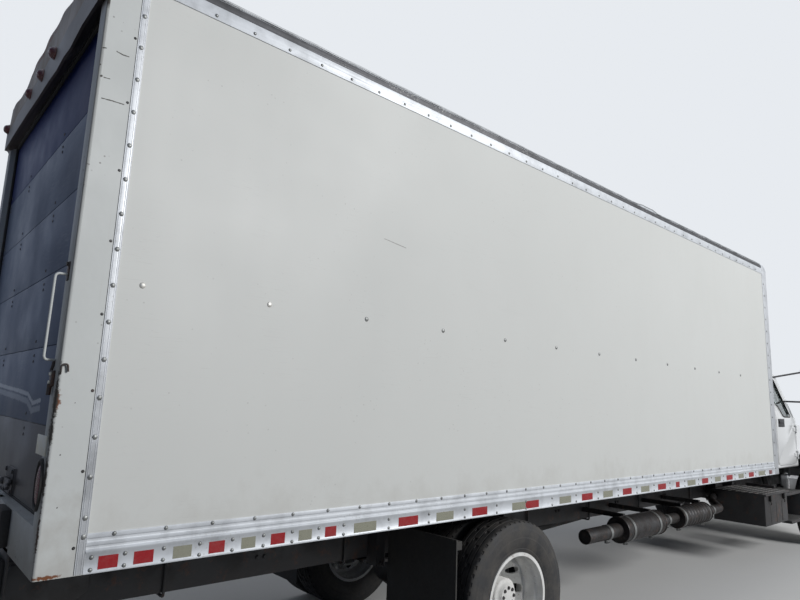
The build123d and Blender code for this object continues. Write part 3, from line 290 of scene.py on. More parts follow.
def panel_finish(paint):
    n = Finish("panel skin")
    cloud = n.noise(n.place, 0.9, 3.0)
    colour = n.mix(cloud, paint.panel, dimmed(paint.panel, 0.93))
    colour = n.lay(colour, "Streaks", 0.3, (0.5, 0.48, 0.44), Scale=14.0, Amount=0.45 * paint.grime)
    colour = n.lay(colour, "Grime", 0.22, DUST, Low=1.1, High=1.75, Scale=7.0, Amount=0.5 * paint.grime)
    colour = n.lay(colour, "Speckle", 0.35, SCUFF, Scale=26.0, Size=0.12)
    colour = n.lay(colour, "Hairlines", 0.18, SCUFF, Stretch=(50.0, 2.2, 70.0), Width=0.008)
    colour = n.marks(colour, [((-1.215, at(1.6), 2.716), (-1.215, at(1.77), 2.694), 0.0035, SCUFF)])
    ripple = n.noise(n.scaled(n.place, (1.0, 1.6, 0.5)), 1.4, 2.0)
    pebble = n.noise(n.place, 420.0, 2.0)
    height = n.math("ADD", n.times(ripple, 6.0), n.times(pebble, 0.05))
    return n.close(colour, (cloud, 0.3, 0.7, 0.46, 0.6), (height, 0.001), Specular_IOR_Level=0.35)


def frame_paint(paint):
    """White paint of the rear frame: scratched, chipped, rusty along its rear edge, with painted shade on the
    header's rear faces and underside.
    """
    n = Finish("rear frame paint")
    cloud = n.noise(n.place, 2.4, 4.0)
    colour = n.mix(cloud, paint.frame, dimmed(paint.frame, 0.9))
    colour = n.lay(colour, "Streaks", 0.35, (0.42, 0.37, 0.31), Scale=30.0, Amount=0.6 * paint.grime)
    across, along, height = n.parts(n.place)
    # Painted shade on the header's rear faces, mixed with soot streaks: dark brown over the upper band, dark grey
    # over the lower band.
    upper = n.range(height, 3.612, 3.622)
    soot = n.range(n.noise(n.scaled(n.place, (3.0, 3.0, 1.0)), 2.2, 6.0, 0.7), 0.3, 0.62)
    behind = n.range(along, at(0.01), at(-0.004))
    dirt = n.times(n.times(upper, n.range(soot, 0.0, 1.0, 0.7, 1.0)), behind)
    colour = n.mix(dirt, colour, (0.17, 0.115, 0.07))
    band = n.times(n.times(n.range(height, 3.42, 3.44), behind), n.range(upper, 0.0, 1.0, 0.75, 0.0))
    colour = n.mix(band, colour, (0.19, 0.17, 0.165))
    # Painted shade on the downward-facing underside of the header, darkest over its right part.
    facing_down = n.range(n.parts(n.add("NewGeometry").outputs["Normal"])[2], -0.3, -0.6)
    shaded_soffit = n.times(facing_down, n.range(height, 3.4, 3.43))
    tone = n.mix(n.range(across, -0.71, -0.67), (0.035, 0.025, 0.02), (0.13, 0.1, 0.085))
    colour = n.mix(n.times(shaded_soffit, 0.9), colour, tone)
    colour = n.lay(colour, "Grime", 0.5, DUST, Low=1.0, High=1.9, Scale=9.0, Amount=0.55 * paint.grime)
    colour = n.lay(colour, "Speckle", 0.75, DARK_RUST, Scale=34.0, Size=0.16)
    # Scratches on the right post. Columns: start station and height, end station and height, width.
    scratches = (
        (0.002, 3.216, 0.017, 3.221, 0.005), (0.061, 3.224, 0.086, 3.219, 0.0042),
        (0.086, 3.219, 0.111, 3.221, 0.0042), (0.012, 3.089, 0.014, 3.091, 0.007),
        (0.024, 3.088, 0.047, 3.09, 0.0032), (0.026, 2.994, 0.07, 2.997, 0.0042), (0.07, 2.997, 0.114, 2.998, 0.0036),
        (0.0, 3.138, 0.001, 3.142, 0.007), (0.07, 1.729, 0.071, 1.73, 0.003), (0.041, 1.532, 0.042, 1.533, 0.003),
        (0.053, 1.338, 0.054, 1.339, 0.003), (0.001, 1.9, 0.002, 1.82, 0.006)
    )
    x = -SIDE_X
    rows = [
        ((x, at(rear), z), (x, at(front), z_end), width, BLACK_CHIP) for rear, z, front, z_end, width in scratches
    ]
    colour = n.marks(colour, rows)
    rows = (
        ((x, at(0.004), 1.735), (0.05, 0.03, 0.075), 60.0, RUST),
        ((x, at(0.0), 1.74), (0.06, 0.022, 0.16), 55.0, BLACK_CHIP),
        ((x, at(0.0), 1.62), (0.06, 0.016, 0.12), 60.0, BLACK_CHIP),
        ((x, at(0.0), 1.46), (0.05, 0.011, 0.2), 60.0, BLACK_CHIP),
        ((x, at(0.0), 1.24), (0.04, 0.009, 0.16), 80.0, DARK_RUST),
        ((x, at(0.04), 1.09), (0.04, 0.1, 0.014), 60.0, RUST), ((-x, at(0.002), 1.42), (0.05, 0.02, 0.2), 60.0, RUST),
        ((-0.56, at(0.01), 3.457), (0.09, 0.05, 0.02), 20.0, (0.3, 0.26, 0.22)),
        ((0.2, at(-0.02), 3.8), (0.9, 0.2, 0.03), 20.0, RUST)
    )
    colour = n.patches(colour, rows)
    relief = (n.noise(n.place, 5.0, 3.0), 0.0025)
    return n.close(colour, (cloud, 0.3, 0.7, 0.42, 0.6), relief, Specular_IOR_Level=0.35)


def gloss_paint(name, tint, paint, dirt_high):
    """Gloss paint with road dirt thrown up to dirt_high."""
    n = Finish(name)
    cloud = n.noise(n.place, 1.7, 3.0)
    colour = n.mix(cloud, tint, dimmed(tint, 0.94))
    amount = 0.6 * paint.grime
    dirt = n.effect("Grime", Vector=n.place, Low=0.3, High=dirt_high, Scale=8.0, Amount=amount)
    colour = n.mix(n.times(dirt, 0.5), colour, DUST)
    colour = n.lay(colour, "Speckle", 0.6, BLACK_CHIP, Scale=48.0, Size=0.1)
    relief = (n.noise(n.place, 160.0, 2.0), 0.0001)
    return n.close(colour, (dirt, 0.0, 1.0, 0.22, 0.6), relief, Coat_Weight=0.4, Coat_Roughness=0.12)


def bare_metal(name, tint, stretch, dull=0.3, metal=0.9):
    """Mill finish or brushed metal with stains and oxide spots."""
    n = Finish(name)
    brushed = n.effect("Brushed", Vector=n.place, Stretch=stretch)
    stains = n.noise(n.place, 7.0, 5.0, 0.65)
    colour = n.mix(n.range(stains, 0.45, 0.72), tint, dimmed(tint, 0.7))
    oxide = n.effect("Speckle", Vector=n.place, Scale=70.0, Size=0.3)
    colour = n.mix(n.times(oxide, 0.6), colour, (0.42, 0.42, 0.4))
    metallic = n.range(oxide, 0.0, 1.0, metal, metal * 0.45)
    return n.close(colour, (brushed, 0.3, 0.7, dull, dull + 0.22), (brushed, 0.00015), Metallic=metallic)


def door_finish(paint):
    """Rear door sections: navy top section, scuffed grey-blue below, with two pale wavy lines of painted reflection
    across a lower section.
    """
    n = Finish("rear door paint")
    height = n.parts(n.place)[2]
    cloud = n.noise(n.place, 3.0, 4.0)
    colour = n.mix(cloud, paint.door, dimmed(paint.door, 0.84))
    colour = n.lay(colour, "Hairlines", 0.4, (0.26, 0.29, 0.34), Stretch=(4.0, 40.0, 90.0), Width=0.03)
    colour = n.lay(colour, "Streaks", 0.4, (0.2, 0.2, 0.21), Scale=22.0, Amount=0.6 * paint.grime)
    top = n.range(height, 3.06, 3.064)
    colour = n.mix(top, colour, n.mix(cloud, paint.door_top, dimmed(paint.door_top, 0.6)))
    amount = 0.5 * paint.grime
    colour = n.lay(colour, "Grime", 0.5, (0.17, 0.16, 0.15), Low=1.2, High=1.9, Scale=6.0, Amount=amount)
    colour = n.mix(n.range(height, 1.627, 1.624), colour, (0.155, 0.145, 0.14))
    # Painted reflection: two pale wavy lines where a lower section's wave catches the light, the upper one brighter.
    ridge = (
        (0.62, 1.8), (0.449, 1.794), (0.104, 1.778), (-0.194, 1.765), (-0.407, 1.752), (-0.54, 1.712), (-0.7, 1.728)
    )
    rows = [
        ((x, at(0.05), z + lift), (x_end, at(0.05), z_end + lift), width, shine) for (x, z),
        (x_end, z_end) in zip(ridge, ridge[1:]) for lift, width,
        shine in ((0.0, 0.016, (0.5, 0.54, 0.6)), (-0.034, 0.022, (0.34, 0.38, 0.45)))
    ]
    colour = n.marks(colour, rows)
    relief = (n.noise(n.place, 3.5, 2.0), 0.003)
    return n.close(colour, (cloud, 0.3, 0.7, 0.34, 0.55), relief, Specular_IOR_Level=0.25)


def black_steel(name, tint, rust_share=0.4):
    """Satin black chassis paint with road dust and rust coming through."""
    n = Finish(name)
    cloud = n.noise(n.place, 5.0, 6.0, 0.7)
    rust = n.times(n.range(n.noise(n.place, 11.0, 7.0, 0.75), 0.56, 0.68), rust_share)
    dust = n.range(cloud, 0.42, 0.75)
    colour = n.mix(n.times(dust, 0.45), n.mix(rust, tint, RUST), (0.075, 0.066, 0.058))
    return n.close(colour, (dust, 0.0, 1.0, 0.45, 0.85), (cloud, 0.0006))


def rubber(name, tint, dusty):
    n = Finish(name)
    cloud = n.noise(n.place, 9.0, 6.0, 0.7)
    colour = n.mix(n.times(n.range(cloud, 0.4, 0.72), dusty), tint, (0.16, 0.145, 0.125))
    return n.close(colour, (cloud, 0.3, 0.7, 0.62, 0.9), (n.noise(n.place, 240.0, 3.0), 0.0004))


def wheel_paint(paint):
    """White wheel paint: rust round the nuts and the hand holes, brake dust, road dirt."""
    n = Finish("wheel paint")
    cloud = n.noise(n.place, 12.0, 5.0, 0.65)
    colour = n.mix(n.range(cloud, 0.35, 0.7), paint.wheel, dimmed(paint.wheel, 0.8))
    colour = n.mix(n.range(n.noise(n.place, 38.0, 7.0, 0.75), 0.6, 0.68), colour, RUST)
    colour = n.lay(colour, "Speckle", 0.8, DARK_RUST, Scale=60.0, Size=0.2)
    dirt = n.range(n.noise(n.place, 4.0, 4.0), 0.4, 0.7)
    colour = n.mix(n.times(dirt, 0.4), colour, DUST)
    return n.close(colour, (cloud, 0.3, 0.7, 0.4, 0.7), (cloud, 0.0006))


def heated_steel():
    """Exhaust steel: dark scale with rust blooms."""
    n = Finish("exhaust steel")
    cloud = n.noise(n.place, 8.0, 7.0, 0.72)
    colour = n.mix(n.range(cloud, 0.35, 0.65), (0.05, 0.05, 0.052), (0.026, 0.021, 0.018))
    bloom = n.range(n.noise(n.place, 21.0, 6.0, 0.7), 0.55, 0.68)
    colour = n.mix(n.times(bloom, 0.25), colour, RUST)
    metallic = n.range(bloom, 0.0, 1.0, 0.6, 0.1)
    return n.close(colour, (cloud, 0.3, 0.7, 0.4, 0.75), (cloud, 0.0008), Metallic=metallic)


def tape_finish(name, tint):
    """Reflective tape: small sealed cells under a clear face, dirt in its surface."""
    n = Finish(name)
    edge = n.range(n.cells(n.place, 170.0, "DISTANCE_TO_EDGE"), 0.02, 0.08)
    dirt = n.range(n.noise(n.place, 15.0, 5.0, 0.7), 0.45, 0.75)
    colour = n.mix(n.times(dirt, 0.2), n.mix(edge, dimmed(tint, 0.75), tint), (0.2, 0.18, 0.16))
    return n.close(colour, (dirt, 0.0, 1.0, 0.35, 0.6), (edge, 0.0002), Specular_IOR_Level=0.3)


def glass_finish(name, tint, roughness=0.0):
    n = Finish(name)
    film = n.range(n.noise(n.place, 6.0, 5.0), 0.45, 0.8)
    return n.close(tint, (film, 0.0, 1.0, roughness, roughness + 0.06), Transmission_Weight=1.0, IOR=1.45)


def lens_finish(name, tint, ribs):
    """Coloured lamp lens with fine upright ribs."""
    n = Finish(name)
    x, _, height = n.parts(n.place)
    wave = n.math("SINE", n.times(n.math("ADD", x, height), ribs))
    dirt = n.range(n.noise(n.place, 25.0, 4.0), 0.45, 0.75)
    colour = n.mix(n.times(dirt, 0.4), tint, (0.1, 0.08, 0.07))
    return n.close(colour, (dirt, 0.0, 1.0, 0.16, 0.45), (wave, 0.0003), Coat_Weight=0.2)


def plastic(name, tint, roughness=0.5):
    """Moulded plastic with a fine leather grain."""
    n = Finish(name)
    fade = n.noise(n.place, 6.0, 4.0)
    worn = tuple(min(0.9, part * 1.6) for part in tint)
    colour = n.mix(n.range(fade, 0.35, 0.7), tint, worn)
    grain = n.cells(n.place, 420.0, "DISTANCE_TO_EDGE")
    return n.close(colour, (fade, 0.3, 0.7, roughness, roughness + 0.18), (grain, 0.0003))


def cloth(name, tint):
    """Woven seat cloth: threads over and under, with a soft nap."""
    n = Finish(name)
    x, y, height = n.parts(n.place)
    warp = n.math("SINE", n.times(x, 2600.0))
    weft = n.math("SINE", n.times(n.math("ADD", y, height), 2600.0))
    weave = n.times(warp, weft)
    nap = n.range(n.noise(n.place, 14.0, 5.0), 0.4, 0.7)
    colour = n.mix(n.range(weave, -1.0, 1.0), dimmed(tint, 0.7), tint)
    colour = n.mix(n.times(nap, 0.35), colour, DUST)
    return n.close(colour, 0.9, (weave, 0.0004), Sheen_Weight=0.3)


def planks():
    """Floor planks that run along the box."""
    n = Finish("floor planks")
    board = n.math("FLOOR", n.math("DIVIDE", n.parts(n.place)[0], 0.15))
    tone = n.add("TexWhiteNoise", {"W": board}, noise_dimensions="1D").outputs["Value"]
    grain = n.noise(n.scaled(n.place, (60.0, 2.0, 60.0)), 1.0, 6.0, 0.65)
    colour = n.mix(grain, (0.2, 0.12, 0.06), (0.42, 0.29, 0.17))
    colour = n.mix(n.times(tone, 0.4), colour, (0.16, 0.11, 0.07))
    return n.close(colour, (grain, 0.3, 0.7, 0.5, 0.8), (grain, 0.0008))


def mirror_glass():
    n = Finish("mirror glass")
    film = (n.noise(n.place, 9.0, 5.0), 0.4, 0.8, 0.02, 0.12)
    return n.close((0.8, 0.82, 0.84), film, Metallic=1.0)


def make_finishes(paint):
    """All finishes by name."""
    along = (60.0, 1.5, 300.0)
    upright = (200.0, 300.0, 1.5)
    ribs = 1400.0
    return {
        "panel": panel_finish(paint), "frame": frame_paint(paint),
        "cab": gloss_paint("cab paint", paint.cab, paint, 1.5),
        "bumper": gloss_paint("bumper paint", (0.62, 0.63, 0.64), paint, 1.2), "door": door_finish(paint),
        "rail": bare_metal("rail aluminium", paint.aluminium, along, 0.4, 0.25),
        "post": bare_metal("post aluminium", (0.5, 0.515, 0.535), upright, 0.42, 0.6),
        "strip": bare_metal("dark strip", (0.09, 0.09, 0.095), along, 0.5),
        "rivet": bare_metal("rivet aluminium", (0.22, 0.225, 0.22), (80.0, 80.0, 80.0), 0.36, 0.75),
        "zinc": bare_metal("zinc plate", (0.5, 0.49, 0.46), (60.0, 60.0, 60.0), 0.4),
        "chrome": bare_metal("bright plate", (0.75, 0.75, 0.76), (30.0, 30.0, 30.0), 0.12),
        "roof": bare_metal("roof aluminium", (0.42, 0.43, 0.44), along, 0.45),
        "rusty": black_steel("rusty iron", (0.03, 0.022, 0.02), 0.7),
        "soot": black_steel("soot", (0.012, 0.011, 0.01), 0.0),
        "black": black_steel("chassis paint", (0.022, 0.022, 0.024), 0.5),
        "iron": black_steel("engine iron", (0.06, 0.06, 0.062), 0.7),
        "core": black_steel("cooler core", (0.14, 0.145, 0.15), 0.1), "exhaust": heated_steel(),
        "tyre": rubber("tyre rubber", (0.018, 0.018, 0.019), 0.4),
        "seal": rubber("rubber seal", (0.015, 0.015, 0.015), 0.3), "wheel": wheel_paint(paint), "planks": planks(),
        "glass": glass_finish("window glass", (0.82, 0.9, 0.88)),
        "clear": glass_finish("lamp cover", (0.95, 0.96, 0.97), 0.02),
        "red_lens": lens_finish("red lens", (0.15, 0.004, 0.008), ribs),
        "amber_lens": lens_finish("amber lens", (0.75, 0.2, 0.01), ribs),
        "red_tape": tape_finish("red tape", paint.tape_red), "pale_tape": tape_finish("pale tape", paint.tape_pale),
        "plastic": plastic("black plastic", (0.022, 0.022, 0.024)),
        "grey_plastic": plastic("grey trim", (0.1, 0.1, 0.105), 0.6),
        "cream": plastic("cream plate", (0.86, 0.82, 0.62), 0.45), "cloth": cloth("seat cloth", (0.11, 0.115, 0.13)),
        "mirror": mirror_glass()
    }


finishes = {}

# The usual slot of each finish
SLOTS = {
    "panel": "box_panel", "cream": "box_panel", "pale_tape": "box_panel", "frame": "white_paint",
    "cab": "white_paint", "bumper": "bumper_steel", "chrome": "bumper_steel", "door": "door_panel",
    "planks": "deck_wood", "rail": "bare_aluminium", "post": "bare_aluminium", "roof": "bare_aluminium",
    "rivet": "bare_aluminium", "strip": "chassis_black", "zinc": "chassis_black", "rusty": "chassis_black",
    "black": "chassis_black", "iron": "chassis_black", "core": "cooler_aluminium", "exhaust": "exhaust_steel",
    "soot": "exhaust_steel", "tyre": "tyre", "seal": "flap_rubber", "wheel": "wheel_paint", "glass": "glass",
    "mirror": "glass", "clear": "clear_lamp", "amber_lens": "clear_lamp", "red_lens": "red_lamp",
    "red_tape": "red_lamp", "plastic": "black_plastic", "grey_plastic": "black_plastic", "cloth": "seat_cloth"
}


# Mesh helpers


def add_piece(mesh, name, finish, body="chassis", slot=None, smooth=35.0, replaces=(), clean=True):
    """Turns a bmesh into an object that rides on a body, with its finish."""
    if clean:
        bmesh.ops.remove_doubles(mesh, verts=mesh.verts, dist=1e-6)
        bmesh.ops.recalc_face_normals(mesh, faces=mesh.faces)
    data = bpy.data.meshes.new(name)
    mesh.to_mesh(data)
    mesh.free()
    if smooth:
        data.shade_smooth()
        data.set_sharp_from_angle(angle=radians(smooth))
    data.materials.append(finishes[finish])
    piece = bpy.data.objects.new(name, data)
    bpy.context.scene.collection.objects.link(piece)
    if replaces:
        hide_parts(*replaces)
    slot = slot or SLOTS[finish]
    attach(piece, body)
    return piece


def facing(point, direction, turn=0.0):
    """Matrix that puts a shape made along +Z at a point, looking along a direction."""
    turned = Vector(direction).to_track_quat("Z", "Y").to_matrix().to_4x4()
    return Matrix.Translation(Vector(point)) @ turned @ Matrix.Rotation(turn, 4, "Z")


def stamp(mesh, shape, matrices):
    """Adds a copy of a shape for each matrix."""
    for matrix in matrices:
        placed = shape.copy()
        placed.transform(matrix)
        mesh.from_mesh(placed)
        bpy.data.meshes.remove(placed)


def stamped(name, finish, shape, spots, **settings):
    """A piece made only of one shape's copies."""
    mesh = bmesh.new()
    stamp(mesh, shape, spots)
    return add_piece(mesh, name, finish, **settings)


def as_shape(mesh, name="shape"):
    data = bpy.data.meshes.new(name)
    mesh.to_mesh(data)
    mesh.free()
    return data


def cut(mesh, faces, point, direction, **clear):
    """Cuts the faces along the plane through a point."""
    edges = dict.fromkeys(edge for face in faces for edge in face.edges)
    verts = dict.fromkeys(vert for face in faces for vert in face.verts)
    bmesh.ops.bisect_plane(mesh, geom=[*faces, *edges, *verts], plane_co=point, plane_no=direction, **clear)


def edges_of(verts):
    """Each edge of some vertices once, in their order."""
    return list(dict.fromkeys(edge for vert in verts for edge in vert.link_edges))


def round_edges(mesh, edges, offset, segments=2):
    bmesh.ops.bevel(
        mesh, geom=edges, offset=offset, segments=segments, profile=0.5, affect="EDGES", material=-1,
        clamp_overlap=True
    )


def cube(mesh, size, matrix):
    made = bmesh.ops.create_cube(mesh, size=1.0)["verts"]
    bmesh.ops.scale(mesh, verts=made, vec=size)
    bmesh.ops.transform(mesh, matrix=matrix, verts=made)
    return made


def cone(mesh, sides, low, high, depth, lift):
    """Closed cone with its middle lifted along +Z. Low and high: its radius at the ends."""
    made = bmesh.ops.create_cone(mesh, cap_ends=True, segments=sides, radius1=low, radius2=high, depth=depth)["verts"]
    bmesh.ops.translate(mesh, verts=made, vec=(0, 0, lift))


def dome_shape(radius, height, sides=10):
    """Button head with a short skirt, its foot at z = -0.001."""
    mesh = bmesh.new()
    bmesh.ops.create_uvsphere(mesh, u_segments=sides, v_segments=6, radius=radius)
    cut(mesh, mesh.faces[:], (0, 0, 0), UP, clear_inner=True)
    rim = [edge for edge in mesh.edges if edge.is_boundary]
    skirt = bmesh.ops.extrude_edge_only(mesh, edges=rim)
    made = [item for item in skirt["geom"] if isinstance(item, bmesh.types.BMVert)]
    bmesh.ops.translate(mesh, verts=made, vec=(0, 0, -0.001 * radius / height))
    bmesh.ops.scale(mesh, verts=mesh.verts, vec=(1, 1, height / radius))
    return as_shape(mesh)


def lathe(profile, sides):
    """Closed shape turned about Z from (radius, height) rows; ends on the axis are joined."""
    mesh = bmesh.new()
    verts = [mesh.verts.new((radius, 0, height)) for radius, height in profile]
    edges = [mesh.edges.new(pair) for pair in zip(verts, verts[1:])]
    bmesh.ops.spin(
        mesh, geom=verts + edges, axis=(0, 0, 1), cent=(0, 0, 0), angle=2 * pi, steps=sides, use_merge=True
    )
    bmesh.ops.remove_doubles(mesh, verts=mesh.verts, dist=1e-6)
    bmesh.ops.recalc_face_normals(mesh, faces=mesh.faces)
    return as_shape(mesh)


def hex_shape(across, height, washer=0.0, stud=0.0):
    """Hexagon head on a washer, with a stud end standing out of it."""
    mesh = bmesh.new()
    radius = across / 2 / cos(pi / 6)
    cone(mesh, 6, radius, radius, height, height / 2)
    top = [edge for edge in mesh.edges if all(vert.co.z > height * 0.9 for vert in edge.verts)]
    round_edges(mesh, top, across * 0.1, 1)
    if washer:
        cone(mesh, 16, washer, washer * 0.94, height * 0.25, height * 0.1)
    if stud:
        cone(mesh, 10, across * 0.3, across * 0.26, stud, height + stud / 2 - 0.001)
    return as_shape(mesh)


def in_frame(points):
    """Points (X, station, height) as the frame's vectors."""
    return [Vector((x, at(station), height)) for x, station, height in points]


def block(mesh, low, high, bevel=0.0, segments=2):
    """Block between two corners (X, station, height), its edges rounded."""
    low, high = in_frame((low, high))
    made = cube(mesh, high - low, Matrix.Translation((low + high) / 2))
    if bevel:
        round_edges(mesh, edges_of(made), bevel, segments)


def slab(mesh, side, inner, outer, rear, front, low, high, bevel=0.0):
    """Block on one side of the truck, between distances from its middle, stations and heights."""
    x_low, x_high = sorted((side * inner, side * outer))
    block(mesh, (x_low, front, low), (x_high, rear, high), bevel)


def flat_bar(mesh, start, end, width, thickness, turn=0.0):
    """Flat strap between two points (X, station, height)."""
    start, end = in_frame((start, end))
    size = (width, thickness, (end - start).length)
    cube(mesh, size, facing((start + end) / 2, end - start, turn))


def rounded(points, radius, steps):
    """Points with each inner corner rounded off by a short arc."""
    path = [points[0]]
    for before, corner, after in zip(points, points[1:], points[2:]):
        reach = min(radius, (before - corner).length * 0.45, (after - corner).length * 0.45)
        start = corner + (before - corner).normalized() * reach
        end = corner + (after - corner).normalized() * reach
        for step in range(steps + 1):
            t = step / steps
            path.append(start * (1 - t) ** 2 + corner * 2 * t * (1 - t) + end * t * t)
    return [*path, points[-1]]


def tube(mesh, points, radius, sides=10, bend=0.0, steps=5, closed=False):
    """Round bar along points (X, station, height), its corners bent to arcs; closed: a ring."""
    points = in_frame(points)
    if closed:
        middle = (points[0] + points[-1]) / 2
        points = [middle, *points, middle]
    if bend:
        points = rounded(points, bend, steps)
    rings, rims = [], []
    for before, point, after in zip(points[:1] + points, points, points[1:] + points[-1:]):
        made = bmesh.ops.create_circle(mesh, cap_ends=False, segments=sides, radius=radius)["verts"]
        bmesh.ops.transform(mesh, matrix=facing(point, (after - before).normalized()), verts=made)
        rings.append(made)
        rims.append(edges_of(made))
    for first, second in zip(rims, rims[1:]):
        bmesh.ops.bridge_loops(mesh, edges=first + second)
    if not closed:
        mesh.faces.new(rings[0])
        mesh.faces.new(rings[-1])


def merged_copy(node):
    """The mesh of a CAD node with its loose triangles joined and flat areas made whole."""
    mesh = bmesh.new()
    mesh.from_mesh(frame["nodes"][node].data)
    bmesh.ops.remove_doubles(mesh, verts=mesh.verts, dist=2e-5)
    bmesh.ops.dissolve_limit(mesh, angle_limit=radians(0.4), verts=mesh.verts, edges=mesh.edges, delimit={"NORMAL"})
    return mesh


def spot(x, station, height, direction, turn=0.0, scale=(1, 1, 1)):
    """Place of a stamped shape that looks along a direction."""
    return facing((x, at(station), height), direction, turn) @ Matrix.Diagonal((*scale, 1))


def interpolate(rows, key):
    """Value at a key between sorted (key, value) rows."""
    for (before, low), (after, high) in zip(rows, rows[1:]):
        if key <= after:
            share = (key - before) / (after - before)
            return low + (high - low) * min(max(share, 0.0), 1.0)
    return rows[-1][1]


def dress_node(node, finish, edge=0.0, smooth=30.0, shape=None, slot=None):
    """Stands a copy of a CAD node in its place, with rounded edges and smooth curves."""
    mesh = merged_copy(node)
    if shape:
        shape(mesh)
    if edge:
        paired = [item for item in mesh.edges if len(item.link_faces) == 2]
        round_edges(mesh, [item for item in paired if item.calc_face_angle(0.0) > radians(40)], edge)
    body = frame["nodes"][node]["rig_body"]
    add_piece(mesh, node + "_skin", finish, body, slot, smooth, (node,), clean=False)


# Properties


def colour(name, default, description):
    return bpy.props.FloatVectorProperty(
        name=name, description=description, subtype="COLOR", size=4, min=0.0, max=1.0, default=default
    )


def length(name, default, description):
    return bpy.props.FloatProperty(name=name, description=description, unit="LENGTH", min=0.0, default=default)


class TruckPaint(bpy.types.PropertyGroup):
    panel: colour("Panel", (0.62, 0.63, 0.61, 1.0), "Skin of the box's side and front panels")
    frame: colour("Rear frame", (0.58, 0.6, 0.59, 1.0), "Paint of the rear posts and the header")
    cab: colour("Cab", (0.67, 0.68, 0.68, 1.0), "Paint of the cab, doors and hood")
    door: colour("Rear door", (0.105, 0.135, 0.21, 1.0), "Paint of the rear door's lower sections")
    door_top: colour("Rear door top", (0.003, 0.016, 0.12, 1.0), "Paint of the rear door's top section")
    aluminium: colour("Aluminium", (0.61, 0.635, 0.665, 1.0), "Bare rails and corner posts")
    wheel: colour("Wheels", (0.82, 0.82, 0.8, 1.0), "Paint of the steel wheels")
    tape_red: colour("Red tape", (0.3, 0.007, 0.012, 1.0), "Red lengths of the reflective tape")
    tape_pale: colour("Pale tape", (0.27, 0.27, 0.21, 1.0), "Pale lengths of the reflective tape")
    grime: bpy.props.FloatProperty(
        name="Grime", description="How dirty the truck is", subtype="FACTOR", min=0.0, max=1.0, default=0.8
    )


class TruckFasteners(bpy.types.PropertyGroup):
    rivet_radius: length("Rivet radius", 0.0112, "Radius of the button rivets on the posts")
    small_rivet_radius: length("Small rivet radius", 0.0092, "Radius of the rivets on the rails")
    bolt_radius: length("Bolt radius", 0.0135, "Radius of the panel bolts' round heads")
    rivet_pitch: length("Rivet pitch", 0.1532, "Distance between rivets on the posts")
    rail_pitch: length("Rail pitch", 0.2055, "Distance between rivets on the rails")
    bolt_pitch: length("Bolt pitch", 0.6096, "Distance between the panel bolts")
    tape_width: length("Tape width", 0.049, "Height of the reflective tape")


class TruckTyres(bpy.types.PropertyGroup):
    segments: bpy.props.IntProperty(name="Segments", description="Faces round one tyre", min=48, max=240, default=120)
    groove: length("Groove depth", 0.012, "Depth of the tread grooves")


class TruckStage(bpy.types.PropertyGroup):
    floor: colour("Floor", (0.62, 0.62, 0.61, 1.0), "Colour of the floor")
    backdrop: colour("Backdrop", (0.8, 0.83, 0.87, 1.0), "Colour behind the truck")
    key: bpy.props.FloatProperty(name="Key light", description="Power of the main lamp", min=0.0, default=3050.0)
    fill: bpy.props.FloatProperty(
        name="Fill light", description="Strength of the soft light all round", min=0.0, default=0.36
    )
    rear_shade: bpy.props.FloatProperty(
        name="Rear shade", description="Share of the soft light that comes from behind", min=0.0, max=1.0, default=0.4
    )


# Box


# Stations of the reflective tape on the lower rail. Columns: rear end, front end, red or pale.
TAPE = (
    (0.222, 0.296, "red"), (0.356, 0.435, "red"), (0.516, 0.597, "pale"), (0.674, 0.748, "red"), (0.829, 0.9, "pale"),
    (0.98, 1.056, "red"), (1.133, 1.209, "pale"), (1.288, 1.357, "red"), (1.471, 1.622, "pale"),
    (1.783, 1.932, "red"), (2.081, 2.227, "pale"), (2.396, 2.54, "red"), (2.794, 2.936, "pale"),
    (2.939, 3.091, "red"), (3.343, 3.49, "pale"), (3.637, 3.787, "red"), (3.945, 4.088, "pale"),
    (4.249, 4.394, "red"), (4.558, 4.705, "pale"), (4.867, 5.02, "red"), (5.221, 5.297, "red"),
    (5.468, 5.644, "pale"), (5.797, 5.942, "red"), (6.112, 6.258, "pale"), (6.41, 6.574, "red"),
    (6.742, 6.891, "pale"), (7.047, 7.197, "red"), (7.35, 7.555, "pale")
)
# Stations of the first rivet pairs low on the lower rail; the others follow at one pitch
PAIR_STATIONS = (0.196, 0.321, 0.476, 0.632, 0.785, 0.941, 1.096, 1.25, 1.404)

# The header has been hit: (X, height) of its top edge and (X, lift) of its bottom edge
HEADER_TOP_EDGE = (
    (-1.22, 3.772), (-0.9, 3.785), (-0.52, 3.797), (-0.36, 3.818), (-0.2, 3.828), (0.1, 3.83), (0.17, 3.822),
    (0.41, 3.819), (0.54, 3.812), (0.61, 3.768), (0.66, 3.745), (0.85, 3.777), (1.22, 3.812)
)
HEADER_LOW_EDGE = (
    (-1.22, -0.003), (-0.9, 0.008), (-0.76, -0.006), (-0.69, -0.016), (-0.56, -0.003), (-0.4, -0.014), (-0.2, 0.0),
    (0.06, 0.004), (0.43, 0.022), (0.86, 0.034), (1.22, 0.03)
)

# (X, height) of the lamps on the header
HEADER_LAMPS = ((-1.162, 3.59), (-0.287, 3.592), (0.014, 3.584), (0.357, 3.6), (1.16, 3.63))

# Heights of the rear door's seams
DOOR_SEAMS = (1.625, 1.973, 2.33, 2.688, 3.062)


